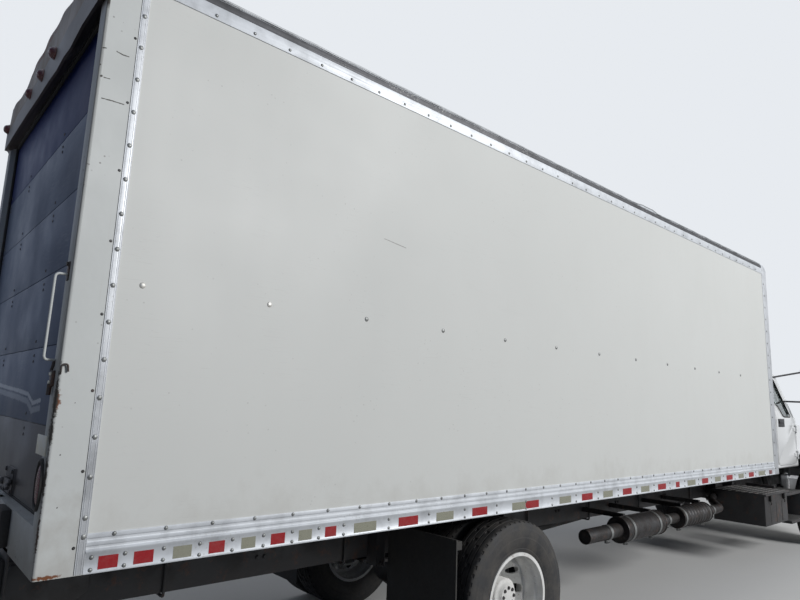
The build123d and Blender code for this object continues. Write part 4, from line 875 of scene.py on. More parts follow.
def dent_header(mesh):
    """Cuts the header into short lengths and bends its edges, as the knocks have left them."""
    for index in range(49):
        middles = ((face, face.calc_center_median()) for face in mesh.faces)
        header = [face for face, middle in middles if middle.z > 3.45 and middle.y > at(0.112)]
        cut(mesh, header, (-1.2 + index * 0.05, 0, 0), (1, 0, 0))
    for vert in mesh.verts:
        place = vert.co
        if abs(place.z - 3.802) < 0.002 and place.y > at(0.0):
            place.z = interpolate(HEADER_TOP_EDGE, place.x)
            place.y -= 0.006 * sin(place.x * 9.0) ** 2
        elif place.z > 3.82:
            place.z = 3.832 - 0.4 * (3.832 - interpolate(HEADER_TOP_EDGE, place.x))
        elif abs(place.z - 3.457) < 0.002 and place.y > at(0.0):
            place.z += interpolate(HEADER_LOW_EDGE, place.x)
        elif 3.61 < place.z < 3.625 and place.y > at(0.0):
            place.y -= 0.004 * sin(place.x * 7.0 + 1.0) ** 2
            place.z += 0.7 * interpolate(HEADER_LOW_EDGE, place.x)


class TRUCK_OT_box_skins(bpy.types.Operator):
    """Gives the box's panels, rails, posts, roof and floor their finishes"""

    bl_idname = "truck.box_skins"
    bl_label = "Box Skins"

    def execute(self, context):
        dress_node("side_panels", "panel")
        dress_node("front_wall", "panel")
        dress_node("lower_rails", "rail", 0.0006)
        dress_node("top_rails", "rail", 0.0008)
        dress_node("front_posts", "post", 0.001)
        dress_node("roof", "rail")
        dress_node("rear_frame", "frame", shape=dent_header)
        dress_node("rear_door", "door", 0.0015)
        dress_node("floor_deck", "planks")
        dress_node("floor_sills", "black")
        return {"FINISHED"}


class TRUCK_OT_rivets(bpy.types.Operator):
    """Rivets, bolts and screws of the box's sides"""

    bl_idname = "truck.rivets"
    bl_label = "Rivets"

    def execute(self, context):
        sizes = context.scene.truck_fasteners
        button = dome_shape(sizes.rivet_radius, sizes.rivet_radius * 0.55, 12)
        small = dome_shape(sizes.small_rivet_radius, sizes.small_rivet_radius * 0.6, 8)
        bolt = dome_shape(sizes.bolt_radius, sizes.bolt_radius * 0.45, 16)
        screw = hex_shape(0.008, 0.004, 0.0065)
        for side_name, side in SIDES:
            out = (side, 0, 0)

            def spots(x, rows):
                return [facing((side * x, at(station), RAIL_Z + height), out) for station, height in rows]

            posts = [(0.156, 2.3546 - index * sizes.rivet_pitch) for index in range(15)]
            posts += [(0.158, 0.14), (0.156, 2.49)]
            posts += [(7.936, 2.37 - index * sizes.rivet_pitch) for index in range(16)]
            stamped("post_rivets_" + side_name, "rivet", button, spots(SIDE_X, posts))

            count = 37
            tops = [(0.276 + index * sizes.rail_pitch, 2.52) for index in range(count)]
            lows = [(0.271 + index * sizes.rail_pitch, 0.141) for index in range(count)]
            pairs = list(PAIR_STATIONS)
            pairs += [1.711 + index * 0.308 for index in range(20)]
            lows += [(station, height) for station in pairs for height in (0.06, 0.014)]
            stamped("rail_rivets_" + side_name, "rivet", small, spots(SIDE_X, tops + lows))

            row = [(0.2753 + index * sizes.bolt_pitch, 1.147) for index in range(12)]
            for name, bolts, finish in (("painted_bolts_", row[:2], "zinc"), ("panel_bolts_", row[2:], "rivet")):
                stamped(name + side_name, finish, bolt, spots(SIDE_X - 0.004, bolts), slot="bare_aluminium")

            screws = [(0.128, height) for height in (2.235, 1.93, 1.621, 1.312, 1.005, 0.697, 0.386, 0.102)]
            stamped("post_screws_" + side_name, "black", screw, spots(SIDE_X, screws))
        return {"FINISHED"}


class TRUCK_OT_trim_strips(bpy.types.Operator):
    """Flat aluminium strip beside each rear post with a black strip of painted shadow along its rear edge, and the
    dark strip over each top rail
    """

    bl_idname = "truck.trim_strips"
    bl_label = "Trim Strips"

    def execute(self, context):
        for side_name, side in SIDES:
            mesh = bmesh.new()
            slab(mesh, side, SIDE_X - 0.003, SIDE_X + 0.0012, 0.14, 0.172, RAIL_Z + 0.002, 3.652, 0.0006)
            for station in (0.1405, 0.1475, 0.164, 0.171):
                path = [(side * (SIDE_X + 0.0012), station, z) for z in (RAIL_Z + 0.003, 3.651)]
                tube(mesh, path, 0.0016, 6)
            add_piece(mesh, "post_strip_" + side_name, "post")
            # Painted shadow: a thin black strip along the aluminium strip's rear edge, where the gap beside it lies
            # in shade.
            mesh = bmesh.new()
            slab(mesh, side, SIDE_X - 0.003, SIDE_X + 0.0004, 0.1375, 0.14, RAIL_Z + 0.002, 3.65)
            add_piece(mesh, "post_shadow_line_" + side_name, "seal", smooth=None)
            mesh = bmesh.new()
            slab(mesh, side, SIDE_X - 0.012, SIDE_X - 0.005, 0.172, 7.895, 3.657, 3.694, 0.001)
            add_piece(mesh, "roof_strip_" + side_name, "strip")
        return {"FINISHED"}


class TRUCK_OT_tape(bpy.types.Operator):
    """Reflective tape along the lower rails"""

    bl_idname = "truck.tape"
    bl_label = "Reflective Tape"

    def execute(self, context):
        width = context.scene.truck_fasteners.tape_width
        low = RAIL_Z + 0.0125
        for side_name, side in SIDES:
            for tone in ("red", "pale"):
                mesh = bmesh.new()
                for rear, front, kind in TAPE:
                    if kind == tone:
                        slab(mesh, side, SIDE_X - 0.001, SIDE_X + 0.0007, rear, front, low, low + width)
                add_piece(mesh, tone + "_tape_" + side_name, tone + "_tape", smooth=None)
        return {"FINISHED"}


class TRUCK_OT_rear_lamps(bpy.types.Operator):
    """Round header lamps and oval tail lamps with their bezels"""

    bl_idname = "truck.rear_lamps"
    bl_label = "Rear Lamps"

    def execute(self, context):
        dome = ((0.0, 0.032), (0.01, 0.0315), (0.02, 0.028), (0.027, 0.021), (0.032, 0.009), (0.033, -0.002))
        lens = lathe(dome, 28)
        rim = ((0.031, 0.004), (0.033, 0.007), (0.035, 0.006), (0.036, 0.003), (0.036, -0.002), (0.031, -0.002))
        bezel = lathe((*rim, rim[0]), 28)
        header = [spot(x, -0.026, height, REAR) for x, height in HEADER_LAMPS]
        ovals = [spot(side * 1.15, 0.0, 1.417, REAR, scale=(1.1, 2.5, 0.4)) for side in (-1, 1)]
        stamped("rear_lamp_lenses", "red_lens", lens, header + ovals, replaces=("rear_lamps",))
        stamped("header_lamp_rims", "red_lens", bezel, header)
        ovals = [spot(side * 1.15, 0.0, 1.417, REAR, scale=(1.38, 2.75, 1.6)) for side in (-1, 1)]
        stamped("tail_lamp_bezels", "seal", bezel, ovals)
        return {"FINISHED"}


class TRUCK_OT_rear_fittings(bpy.types.Operator):
    """Seals, bolts, lock, hook, plates and buffers of the rear end"""

    bl_idname = "truck.rear_fittings"
    bl_label = "Rear Fittings"

    def execute(self, context):
        bolt = dome_shape(0.0085, 0.004, 10)
        nut = hex_shape(0.017, 0.008, 0.012)
        mesh = bmesh.new()
        for side in (-1, 1):
            slab(mesh, side, 1.104, 1.1195, 0.034, 0.049, 1.262, 3.497, 0.004)
        block(mesh, (-1.11, 0.068, 1.2585), (1.11, 0.046, 1.274), 0.004)
        block(mesh, (-1.118, 0.05, 3.478), (1.118, 0.034, 3.503), 0.004)
        add_piece(mesh, "door_seals", "seal")
        spots = []
        for seam in DOOR_SEAMS:
            for x in (-1.06, -0.43, 0.43, 1.06):
                spots += [spot(x, 0.05, seam + lift, REAR) for lift in (-0.062, -0.034, 0.036)]
        stamped("door_bolts", "iron", bolt, spots)
        mesh = bmesh.new()
        block(mesh, (-0.392, 0.041, 1.273), (-0.208, 0.0375, 1.397), 0.002)
        block(mesh, (-0.342, 0.03, 1.222), (-0.258, -0.004, 1.262), 0.004)
        tube(
            mesh, ((-0.33, 0.0, 1.235), (-0.33, -0.02, 1.235), (-0.27, -0.02, 1.235), (-0.27, 0.0, 1.235)), 0.005,
            bend=0.01
        )
        tube(mesh, ((-0.44, 0.018, 1.335), (-0.47, 0.0, 1.33), (-0.52, 0.0, 1.325)), 0.009, bend=0.015)
        stamp(mesh, nut, [spot(x, 0.0375, z, REAR) for x in (-0.378, -0.222) for z in (1.287, 1.383)])
        stamp(
            mesh, lathe(((0.0, 0.03), (0.011, 0.029), (0.017, 0.022), (0.019, 0.0), (0.0, 0.0)), 20),
            [spot(-0.3, 0.03, 1.335, REAR)]
        )
        add_piece(mesh, "door_lock", "iron")
        for side_name, side in SIDES:
            mesh = bmesh.new()
            for low in (0.86, 1.07):
                slab(mesh, side, 0.52, 0.7, -0.042, 0.004, low + 0.03, low + 0.19, 0.012)
            add_piece(mesh, "dock_buffers_" + side_name, "seal")
            mesh = bmesh.new()
            slab(mesh, side, 0.5, 0.72, 0.0, 0.012, 0.88, 1.1, 0.003)
            stamp(mesh, nut, [spot(side * x, -0.041, low, REAR) for x in (0.56, 0.66) for low in (0.95, 1.19)])
            add_piece(mesh, "buffer_plates_" + side_name, "black")
            mesh = bmesh.new()
            slab(mesh, side, 1.022, 1.182, -0.0045, 0.0005, 1.524, 1.6, 0.0015)
            add_piece(mesh, "rear_plate_" + side_name, "cream", smooth=30)
        mesh = bmesh.new()
        tube(
            mesh,
            (
                (-1.2165, 0.006, 1.838), (-1.2275, 0.004, 1.846), (-1.2285, 0.004, 1.874), (-1.2285, 0.026, 1.878),
                (-1.2275, 0.03, 1.848)
            ),
            0.0038, 8, bend=0.012
        )
        block(mesh, (-1.165, 0.002, 1.79), (-1.125, -0.012, 1.852), 0.003)
        tube(mesh, ((-1.132, -0.002, 1.893), (-1.136, -0.01, 1.85)), 0.006)
        tube(mesh, ((-1.15, -0.012, 1.8), (-1.146, -0.012, 1.756)), 0.009)
        block(mesh, (-1.178, 0.002, 2.212), (-1.15, -0.005, 2.29), 0.002)
        tube(mesh, ((-1.164, -0.004, 2.28), (-1.164, -0.012, 2.28)), 0.009)
        add_piece(mesh, "handle_hook", "rusty")
        mesh = bmesh.new()
        slab(mesh, -1, 1.128, 1.15, -0.01, -0.016, 1.795, 1.812, 0.001)
        slab(mesh, -1, 1.132, 1.156, -0.01, -0.016, 1.832, 1.844, 0.001)
        add_piece(mesh, "handle_feet", "cream")
        return {"FINISHED"}


class TRUCK_OT_front_wall_fittings(bpy.types.Operator):
    """Rivets, clearance lamps and roof edges of the box's front and roof"""

    bl_idname = "truck.front_wall_fittings"
    bl_label = "Front Wall Fittings"

    def execute(self, context):
        button = dome_shape(0.0075, 0.004, 10)
        spots = []
        for index in range(17):
            spots += [spot(x, 8.075, 1.13 + index * 0.1532, AHEAD) for x in (-1.14, 1.14)]
        for index in range(15):
            spots.append(spot(-1.07 + index * 0.1532, 8.073, 3.6, AHEAD))
            spots.append(spot(-1.07 + index * 0.1532, 8.073, 1.12, AHEAD))
        stamped("front_wall_rivets", "rivet", button, spots)
        mesh = bmesh.new()
        for x in (-0.61, 0.0, 0.61):
            block(mesh, (x - 0.03, 8.0775, 1.085), (x + 0.03, 8.072, 3.62), 0.001)
        block(mesh, (-1.118, 8.08, 1.085), (1.118, 8.072, 1.2), 0.003)
        add_piece(mesh, "front_wall_ribs", "rail")
        lens = lathe(((0.0, 0.022), (0.02, 0.021), (0.028, 0.015), (0.031, 0.006), (0.031, 0.0)), 24)
        base = lathe(((0.0, 0.006), (0.036, 0.006), (0.04, 0.003), (0.04, -0.002)), 24)
        spots = [spot(x, 8.0775, 3.53, AHEAD) for x in (-1.02, -0.2, 0.0, 0.2, 1.02)]
        stamped("clearance_lenses", "amber_lens", lens, spots)
        stamped("clearance_bases", "plastic", base, spots)
        mesh = bmesh.new()
        for index in range(12):
            station = 0.72 + index * 0.61
            block(mesh, (-1.19, station + 0.016, 3.7075), (1.19, station - 0.016, 3.7105), 0.0012)
        add_piece(mesh, "roof_bow_seams", "roof")
        for side_name, side in SIDES:
            mesh = bmesh.new()
            path = []
            for index in range(78):
                station = 0.16 + index * 0.1
                lift = 0.012 if 4.75 < station < 5.0 else -0.004 if 5.0 <= station < 5.3 else 0.0
                path.append(
                    (side * (1.2155 - 0.001 * (index % 3)), station, 3.7035 + lift + 0.0012 * sin(index * 1.7))
                )
            tube(mesh, path, 0.0062, 8)
            add_piece(mesh, "roof_lip_" + side_name, "roof")
            mesh = bmesh.new()
            slab(mesh, side, 1.2185, 1.226, 7.703, 7.789, 1.096, 1.142, 0.003)
            add_piece(mesh, "side_lamps_" + side_name, "red_lens")
        return {"FINISHED"}


# Wheels


# Radii of the circles that the wheel nuts and the hub bolts stand on
NUT_CIRCLE = 0.1429
HUB_CIRCLE = 0.055


def tyre_profile(groove):
    """Outside of a tyre from one bead to the other: (across, radius) rows in metres."""
    side = [
        (0.1065, 0.286), (0.107, 0.3), (0.112, 0.308), (0.1155, 0.318), (0.1165, 0.322), (0.115, 0.325),
        (0.123, 0.345), (0.1278, 0.368), (0.1302, 0.39), (0.1306, 0.393), (0.1292, 0.396), (0.1304, 0.404),
        (0.1296, 0.425), (0.1275, 0.445), (0.1262, 0.452), (0.124, 0.455), (0.1228, 0.466), (0.1185, 0.48),
        (0.112, 0.492), (0.104, 0.4985)
    ]
    tread = []
    for middle in (0.066, 0.023):
        crown = 0.505 - 0.0035 * (middle / 0.098) ** 2
        tread += [
            (middle + 0.0055, crown), (middle + 0.0035, crown - groove), (middle - 0.0035, crown - groove),
            (middle - 0.0055, crown)
        ]
    left = [(-across, radius) for across, radius in side]
    left += [(-0.098, 0.5015)] + [(-across, radius) for across, radius in tread]
    return left + [(-across, radius) for across, radius in reversed(left)]


def tyre_shape(sizes):
    """One tyre about X, with ribbed tread, cut shoulders and stepped sidewalls."""
    mesh = bmesh.new()
    verts = [mesh.verts.new((across, 0, radius)) for across, radius in tyre_profile(sizes.groove)]
    edges = [mesh.edges.new(pair) for pair in zip(verts, verts[1:])]
    edges.append(mesh.edges.new((verts[-1], verts[0])))
    bmesh.ops.spin(
        mesh, geom=verts + edges, axis=(1, 0, 0), cent=(0, 0, 0), angle=2 * pi, steps=sizes.segments, use_merge=True
    )
    bmesh.ops.recalc_face_normals(mesh, faces=mesh.faces)
    cuts = []
    for face in mesh.faces:
        middle = face.calc_center_median()
        across, radius = abs(middle.x), middle.yz.length
        turn = middle.yz.angle_signed(Vector((1, 0))) % (2 * pi)
        step = int(round(turn / (2 * pi) * sizes.segments - 0.5))
        shoulder = 0.492 < radius and 0.098 < across < 0.113 and step % 2 == 0
        rib = 0.4995 < radius and 0.03 < across < 0.06 and step % 5 == 0
        centre = 0.4995 < radius and across < 0.015 and step % 5 == 2
        if shoulder or rib or centre:
            cuts.append(face)
    bmesh.ops.inset_individual(mesh, faces=cuts, thickness=0.0022, depth=-0.006, use_even_offset=True)
    return as_shape(mesh, "tyre")


class TRUCK_OT_tyres(bpy.types.Operator):
    """Treaded tyres on every wheel"""

    bl_idname = "truck.tyres"
    bl_label = "Tyres"

    def execute(self, context):
        shape = tyre_shape(context.scene.truck_tyres)
        for side_name, side in SIDES:
            for name, body, node, station, places in (
                ("front_tread_", "front_wheel_", "front_tyre_", FRONT_AXLE, (1.04,)),
                ("rear_treads_", "rear_wheels_", "rear_tyres_", REAR_AXLE, (1.058, 0.746))
            ):
                stamped(
                    name + side_name, "tyre", shape,
                    [Matrix.Translation((side * x, at(station), AXLE_Z)) for x in places], body=body + side_name,
                    replaces=(node + side_name,), clean=False
                )
        return {"FINISHED"}


class TRUCK_OT_wheels(bpy.types.Operator):
    """Finishes, nuts and hub bolts of the wheels"""

    bl_idname = "truck.wheels"
    bl_label = "Wheels"

    def execute(self, context):
        nut = hex_shape(0.033, 0.022, 0.021, 0.012)
        small_bolt = hex_shape(0.019, 0.009, 0.0125)
        for side_name, side in SIDES:
            dress_node("front_wheel_" + side_name, "wheel", smooth=28)
            dress_node("rear_wheels_" + side_name, "wheel", smooth=28)
            dress_node("knuckle_" + side_name, "black", 0.003)

            def ring(x, station, radius, count, start):
                """Places round a wheel's axle."""
                for index in range(count):
                    angle = 2 * pi * (index + start) / count
                    y = at(station) + radius * cos(angle)
                    yield facing((side * x, y, AXLE_Z + radius * sin(angle)), (side, 0, 0), angle)

            for name, station, face, nose in (
                ("front_wheel_", FRONT_AXLE, 1.1005, 1.158), ("rear_wheels_", REAR_AXLE, 0.9145, 1.09)
            ):
                wheel = name + side_name
                stamped(wheel + "_nuts", "zinc", nut, ring(face, station, NUT_CIRCLE, 10, 0.5), body=wheel)
                bolts = ring(nose, station, HUB_CIRCLE, 8, 0)
                stamped(wheel + "_hub_bolts", "black", small_bolt, bolts, body=wheel)
        return {"FINISHED"}


# Chassis


class TRUCK_OT_chassis(bpy.types.Operator):
    """Finishes of the frame, axles, springs, tanks and driveline"""

    bl_idname = "truck.chassis"
    bl_label = "Chassis"

    def execute(self, context):
        for node, finish, edge in (
            ("frame_rails", "black", 0.002), ("crossmembers", "black", 0.0), ("rear_axle", "black", 0.0),
            ("front_axle", "black", 0.003), ("leaf_springs", "black", 0.0), ("drive_shaft", "black", 0.0),
            ("underride_guard", "black", 0.003), ("mud_flaps", "seal", 0.0)
        ):
            dress_node(node, finish, edge)
        dress_node("engine", "iron", slot="engine_iron")
        for node, finish, edge in (
            ("radiator", "core", 0.0), ("exhaust", "exhaust", 0.0), ("fuel_tank", "rail", 0.0),
            ("battery_box", "black", 0.003), ("air_tanks", "black", 0.0), ("front_bumper", "bumper", 0.003),
            ("grab_handle", "frame", 0.0)
        ):
            dress_node(node, finish, edge)
        return {"FINISHED"}


class TRUCK_OT_springs(bpy.types.Operator):
    """U-bolts, shackle nuts, shock absorbers, brake chambers and axle cover"""

    bl_idname = "truck.springs"
    bl_label = "Springs and Brakes"

    def execute(self, context):
        nut = hex_shape(0.027, 0.018, 0.018, 0.014)
        chamber = lathe(
            (
                (0.0, 0.0), (0.055, 0.0), (0.075, 0.012), (0.078, 0.05), (0.088, 0.054), (0.088, 0.066),
                (0.078, 0.07), (0.072, 0.115), (0.05, 0.128), (0.0, 0.13)
            ),
            24
        )
        # Columns: springs, axle, X, height of their top, height of the U-bolts' ends, half length, and
        # the shock absorber's foot and head as (X, station beyond the axle, height)
        for name, station, x, top, low, half, foot, head in (
            ("rear", REAR_AXLE, 0.49, 0.678, 0.42, 0.68, (0.4, 0.09, 0.47), (0.36, 0.42, 0.9)),
            ("front", FRONT_AXLE, 0.392, 0.658, 0.41, 0.64, (0.5, -0.1, 0.47), (0.475, -0.3, 0.95))
        ):
            mesh = bmesh.new()
            spots = []
            for side in (-1, 1):
                for ahead in (-0.075, 0.075):
                    bend = ((-0.052, low), (-0.052, top + 0.006), (0.052, top + 0.006), (0.052, low))
                    path = [(side * (x + off), station + ahead, z) for off, z in bend]
                    tube(mesh, path, 0.0095, 8, bend=0.03)
                    for off in (-0.052, 0.052):
                        spots.append(spot(side * (x + off), station + ahead, low + 0.012, DOWN))
                slab(mesh, side, x - 0.07, x + 0.07, station - 0.1, station + 0.1, low + 0.012, low + 0.03, 0.004)
                for end in (-half, half):
                    spots.append(spot(side * (x + 0.04), station + end, top + 0.012, (side, 0, 0)))
            stamp(mesh, nut, spots)
            add_piece(mesh, name + "_u_bolts", "black")
            mesh = bmesh.new()
            for side in (-1, 1):
                low_end, high_end = (Vector((side * out, station + ahead, z)) for out, ahead, z in (foot, head))
                middle = low_end.lerp(high_end, 0.52)
                tube(mesh, (low_end.lerp(high_end, 0.04), middle), 0.03, 16)
                tube(mesh, (middle.lerp(low_end, 0.1), high_end.lerp(low_end, 0.03)), 0.036, 16)
                for end in (low_end, high_end):
                    tube(mesh, (end - Vector((0.03, 0, 0)), end + Vector((0.03, 0, 0))), 0.021, 14)
            add_piece(mesh, name + "_shock_absorbers", "black")
        mesh = bmesh.new()
        rods = bmesh.new()
        for side in (-1, 1):
            for station in (2.7, 3.12):
                aim = Vector((0.0, -1.0 if station > REAR_AXLE else 1.0, 0.35)).normalized()
                x = side * 0.585
                stamp(mesh, chamber, [spot(x, station, 0.6, aim)])
                tube(rods, ((x, station, 0.6), (x, station + aim.y * 0.1, 0.6 - aim.z * 0.1)), 0.009)
                rear, front = sorted((station, REAR_AXLE))
                slab(rods, side, 0.57, 0.6, rear, front, 0.53, 0.56, 0.004)
        add_piece(mesh, "brake_chambers", "black")
        add_piece(rods, "brake_rods", "iron")
        mesh = bmesh.new()
        cover = ((0.0, 0.1), (0.05, 0.098), (0.1, 0.075), (0.128, 0.03), (0.132, 0.0), (0.15, 0.0), (0.15, -0.014))
        stamp(mesh, lathe(cover, 32), [spot(0, REAR_AXLE - 0.15, AXLE_Z, REAR)])
        angles = [2 * pi * index / 12 for index in range(12)]
        ring = [spot(0.141 * cos(a), REAR_AXLE - 0.15, AXLE_Z + 0.141 * sin(a), REAR) for a in angles]
        stamp(mesh, hex_shape(0.014, 0.008), ring)
        add_piece(mesh, "axle_cover", "black")
        return {"FINISHED"}


class TRUCK_OT_steering_gear(bpy.types.Operator):
    """Steering box and its column down to the frame"""

    bl_idname = "truck.steering_gear"
    bl_label = "Steering Gear"

    def execute(self, context):
        mesh = bmesh.new()
        slab(mesh, 1, 0.434, 0.56, 10.42, 10.6, 0.8, 0.93, 0.02)
        tube(mesh, ((0.5, 10.51, 0.8), (0.5, 10.51, 0.72)), 0.034, 18)
        tube(mesh, ((0.5, 10.44, 0.9), (0.49, 9.52, 1.36)), 0.016, 12)
        block(mesh, (0.475, 10.54, 0.6), (0.525, 10.48, 0.73), 0.012)
        add_piece(mesh, "steering_box", "iron", slot="engine_iron")
        return {"FINISHED"}


class TRUCK_OT_pipes(bpy.types.Operator):
    """Air and brake pipes, wiring loom and bolts along the frame rails"""

    bl_idname = "truck.pipes"
    bl_label = "Frame Pipes"

    def execute(self, context):
        nut = hex_shape(0.021, 0.011, 0.014)
        mesh = bmesh.new()
        for side, height in ((-1, 0.905), (-1, 0.885), (1, 0.905), (1, 0.87)):
            path = [(side * 0.4235, 0.3, height)]
            for index in range(20):
                station = 0.55 + index * 0.5
                x = side * (0.42 + 0.0025 * sin(index * 2.1))
                path.append((x, station, height + 0.004 * sin(index * 1.3)))
            tube(mesh, path, 0.0065, 6)
        add_piece(mesh, "frame_pipes", "seal")
        spots = []
        for side in (-1, 1):
            for station in (0.3, 1.38, 2.46, 3.4, 4.48, 5.56, 6.64, 7.72, 8.76):
                for ahead in (-0.025, 0.025):
                    for height in (0.83, 0.9, 0.94):
                        spots.append(spot(side * 0.432, station + ahead, height, (side, 0, 0)))
        stamped("frame_bolts", "black", nut, spots)
        mesh = bmesh.new()
        for side in (-1, 1):
            for station in (0.8, 2.0, 4.0, 5.0, 6.0, 7.3):
                bend = ((0.345, 1.096), (0.446, 1.098), (0.446, 0.705), (0.35, 0.705))
                path = [(side * x, station, z) for x, z in bend]
                tube(mesh, path, 0.0085, 8, bend=0.02)
        add_piece(mesh, "body_clamps", "black")
        return {"FINISHED"}


# (X, height) of the muffler's middle line
MUFFLER = (-0.86, 0.7)


class TRUCK_OT_exhaust_fittings(bpy.types.Operator):
    """End rolls, seams, ribs, clamps, hangers and the outlet of the exhaust"""

    bl_idname = "truck.exhaust_fittings"
    bl_label = "Exhaust Fittings"

    def execute(self, context):
        x, height = MUFFLER

        def turned(mesh, rows, station=0.0, radius=0.0):
            """Turns (station, radius) rows about the muffler's middle line."""
            profile = [(radius + out, station + along) for along, out in rows]
            stamp(mesh, lathe(profile, 40), [spot(x, 0.0, height, AHEAD)])

        mesh = bmesh.new()
        roll = (
            (-0.008, -0.006), (-0.008, 0.002), (-0.003, 0.005), (0.003, 0.005), (0.008, 0.002), (0.008, -0.006),
            (-0.008, -0.006)
        )
        for station, radius in ((4.808, 0.1125), (5.539, 0.1125), (5.979, 0.1025), (6.662, 0.1025)):
            turned(mesh, roll, station, radius)
        rib = ((-0.016, 0.1015), (-0.008, 0.1065), (0.0, 0.1085), (0.008, 0.1065), (0.016, 0.1015))
        for index in range(9):
            turned(mesh, rib, 6.05 + index * 0.068)
        block(mesh, (-0.866, 5.53, 0.809), (-0.854, 4.82, 0.8155), 0.002)
        add_piece(mesh, "exhaust_rolls", "exhaust")
        mesh = bmesh.new()
        spots = []
        band = ((-0.018, -0.002), (-0.018, 0.003), (0.018, 0.003), (0.018, -0.002), (-0.018, -0.002))
        for station, radius in (
            (4.92, 0.1125), (5.42, 0.1125), (6.02, 0.1025), (6.6, 0.1025), (4.6, 0.0625), (5.76, 0.0505),
            (6.86, 0.0505)
        ):
            turned(mesh, band, station, radius)
            low = height - radius
            slab(mesh, 1, x - 0.012, x + 0.012, station - 0.018, station + 0.018, low - 0.03, low + 0.002, 0.002)
            spots.append(spot(x - 0.012, station, low - 0.018, (-1, 0, 0)))
        stamp(mesh, hex_shape(0.017, 0.01, 0.012, 0.01), spots)
        add_piece(mesh, "exhaust_clamps", "rivet", slot="exhaust_steel")
        mesh = bmesh.new()
        path = [
            (-0.86, 6.98, 0.7), (-0.86, 7.12, 0.7), (-0.62, 7.46, 0.74), (-0.36, 8.5, 0.8), (-0.36, 9.5, 0.86),
            (-0.33, 9.7, 1.0)
        ]
        tube(mesh, path, 0.046, 20, bend=0.25, steps=8)
        add_piece(mesh, "exhaust_front_pipe", "exhaust")
        mesh = bmesh.new()
        turned(mesh, ((4.25, 0.062), (4.244, 0.0605), (4.244, 0.056), (4.26, 0.0565), (4.6, 0.0565), (4.6, 0.0)))
        add_piece(mesh, "exhaust_mouth", "soot")
        return {"FINISHED"}


class TRUCK_OT_tank_fittings(bpy.types.Operator):
    """Caps, straps, lids, treads and drains of the tanks and the battery box"""

    bl_idname = "truck.tank_fittings"
    bl_label = "Tank Fittings"

    def execute(self, context):
        nut = hex_shape(0.019, 0.011, 0.012, 0.012)
        neck = (
            (0.0, 0.052), (0.04, 0.052), (0.046, 0.046), (0.047, 0.02), (0.038, 0.018), (0.038, -0.02), (0.0, -0.02)
        )
        stamped(
            "fuel_cap", "chrome", lathe(neck, 32), [spot(1.085, 8.05, 0.83, (0.75, 0, 0.66))], slot="bare_aluminium"
        )
        mesh = bmesh.new()
        for station in (7.6, 7.7, 7.8, 7.9, 8.0):
            block(mesh, (0.66, station + 0.012, 0.8795), (1.02, station - 0.012, 0.884), 0.0015)
        add_piece(mesh, "tank_tread", "zinc", slot="bare_aluminium")
        mesh = bmesh.new()
        spots = []
        for station in (7.525, 8.225):
            tube(mesh, ((1.128, station, 0.6), (1.128, station, 0.7)), 0.007)
            spots += [spot(1.128, station, z, direction) for z, direction in ((0.7, UP), (0.6, DOWN))]
        stamp(mesh, nut, spots)
        add_piece(mesh, "tank_strap_bolts", "zinc")
        mesh = bmesh.new()
        for row in range(8):
            for column in range(16):
                x, station = -1.13 + row * 0.075, 7.72 + column * 0.05
                turn = pi / 4 if (row + column) % 2 else -pi / 4
                cube(mesh, (0.03, 0.006, 0.003), spot(x, station, 0.8512, UP, turn))
        add_piece(mesh, "battery_lid_tread", "zinc")
        mesh = bmesh.new()
        for station in (7.86, 8.34):
            block(mesh, (-1.1815, station + 0.022, 0.765), (-1.15, station - 0.022, 0.838), 0.004)
            tube(mesh, ((-1.153, station, 0.77), (-1.176, station, 0.745), (-1.17, station, 0.72)), 0.006, bend=0.01)
        for station in (7.9, 8.1, 8.3):
            block(mesh, (-1.1525, station + 0.012, 0.5), (-1.1485, station - 0.012, 0.74), 0.002)
        add_piece(mesh, "battery_latches", "seal", slot="black_plastic")
        mesh = bmesh.new()
        spots = []
        for station in (4.1, 5.1):
            for strap in (station + 0.14, station + 0.56):
                band = lathe(((0.1095, -0.016), (0.1125, -0.016), (0.1125, 0.016), (0.1095, 0.016)), 36)
                stamp(mesh, band, [spot(0.62, strap, 0.64, AHEAD)])
                spots.append(spot(0.735, strap, 0.64, (1, 0, 0)))
            tube(mesh, ((0.62, station + 0.35, 0.532), (0.62, station + 0.35, 0.508)), 0.012)
        stamp(mesh, nut, spots)
        add_piece(mesh, "air_tank_bands", "zinc")
        return {"FINISHED"}


# Cab


class TRUCK_OT_cab(bpy.types.Operator):
    """Finishes of the cab, doors, hood, glass and cab fittings"""

    bl_idname = "truck.cab"
    bl_label = "Cab"

    def execute(self, context):
        for node, finish, edge in (
            ("cab_shell", "cab", 0.004), ("door_right", "cab", 0.004), ("door_left", "cab", 0.004),
            ("hood", "cab", 0.003), ("grille", "plastic", 0.003), ("cab_glass", "glass", 0.0),
            ("door_glass_right", "glass", 0.0), ("door_glass_left", "glass", 0.0), ("mirror_right", "plastic", 0.004),
            ("mirror_left", "plastic", 0.004), ("cab_steps", "black", 0.003), ("dashboard", "grey_plastic", 0.004),
            ("steering_wheel", "plastic", 0.0)
        ):
            dress_node(node, finish, edge)
        return {"FINISHED"}


def on_screen(x, height, lift):
    """Point (X, station, height) over the windshield's plane."""
    return Vector((x, 9.395 - 0.6885 * (height - 1.785) + 0.8236 * lift, height + 0.567 * lift))


def cab_side_x(height):
    """Half width of the cab at a height over its waist."""
    return 1.045 - 0.1525 * max(0.0, height - 1.74)


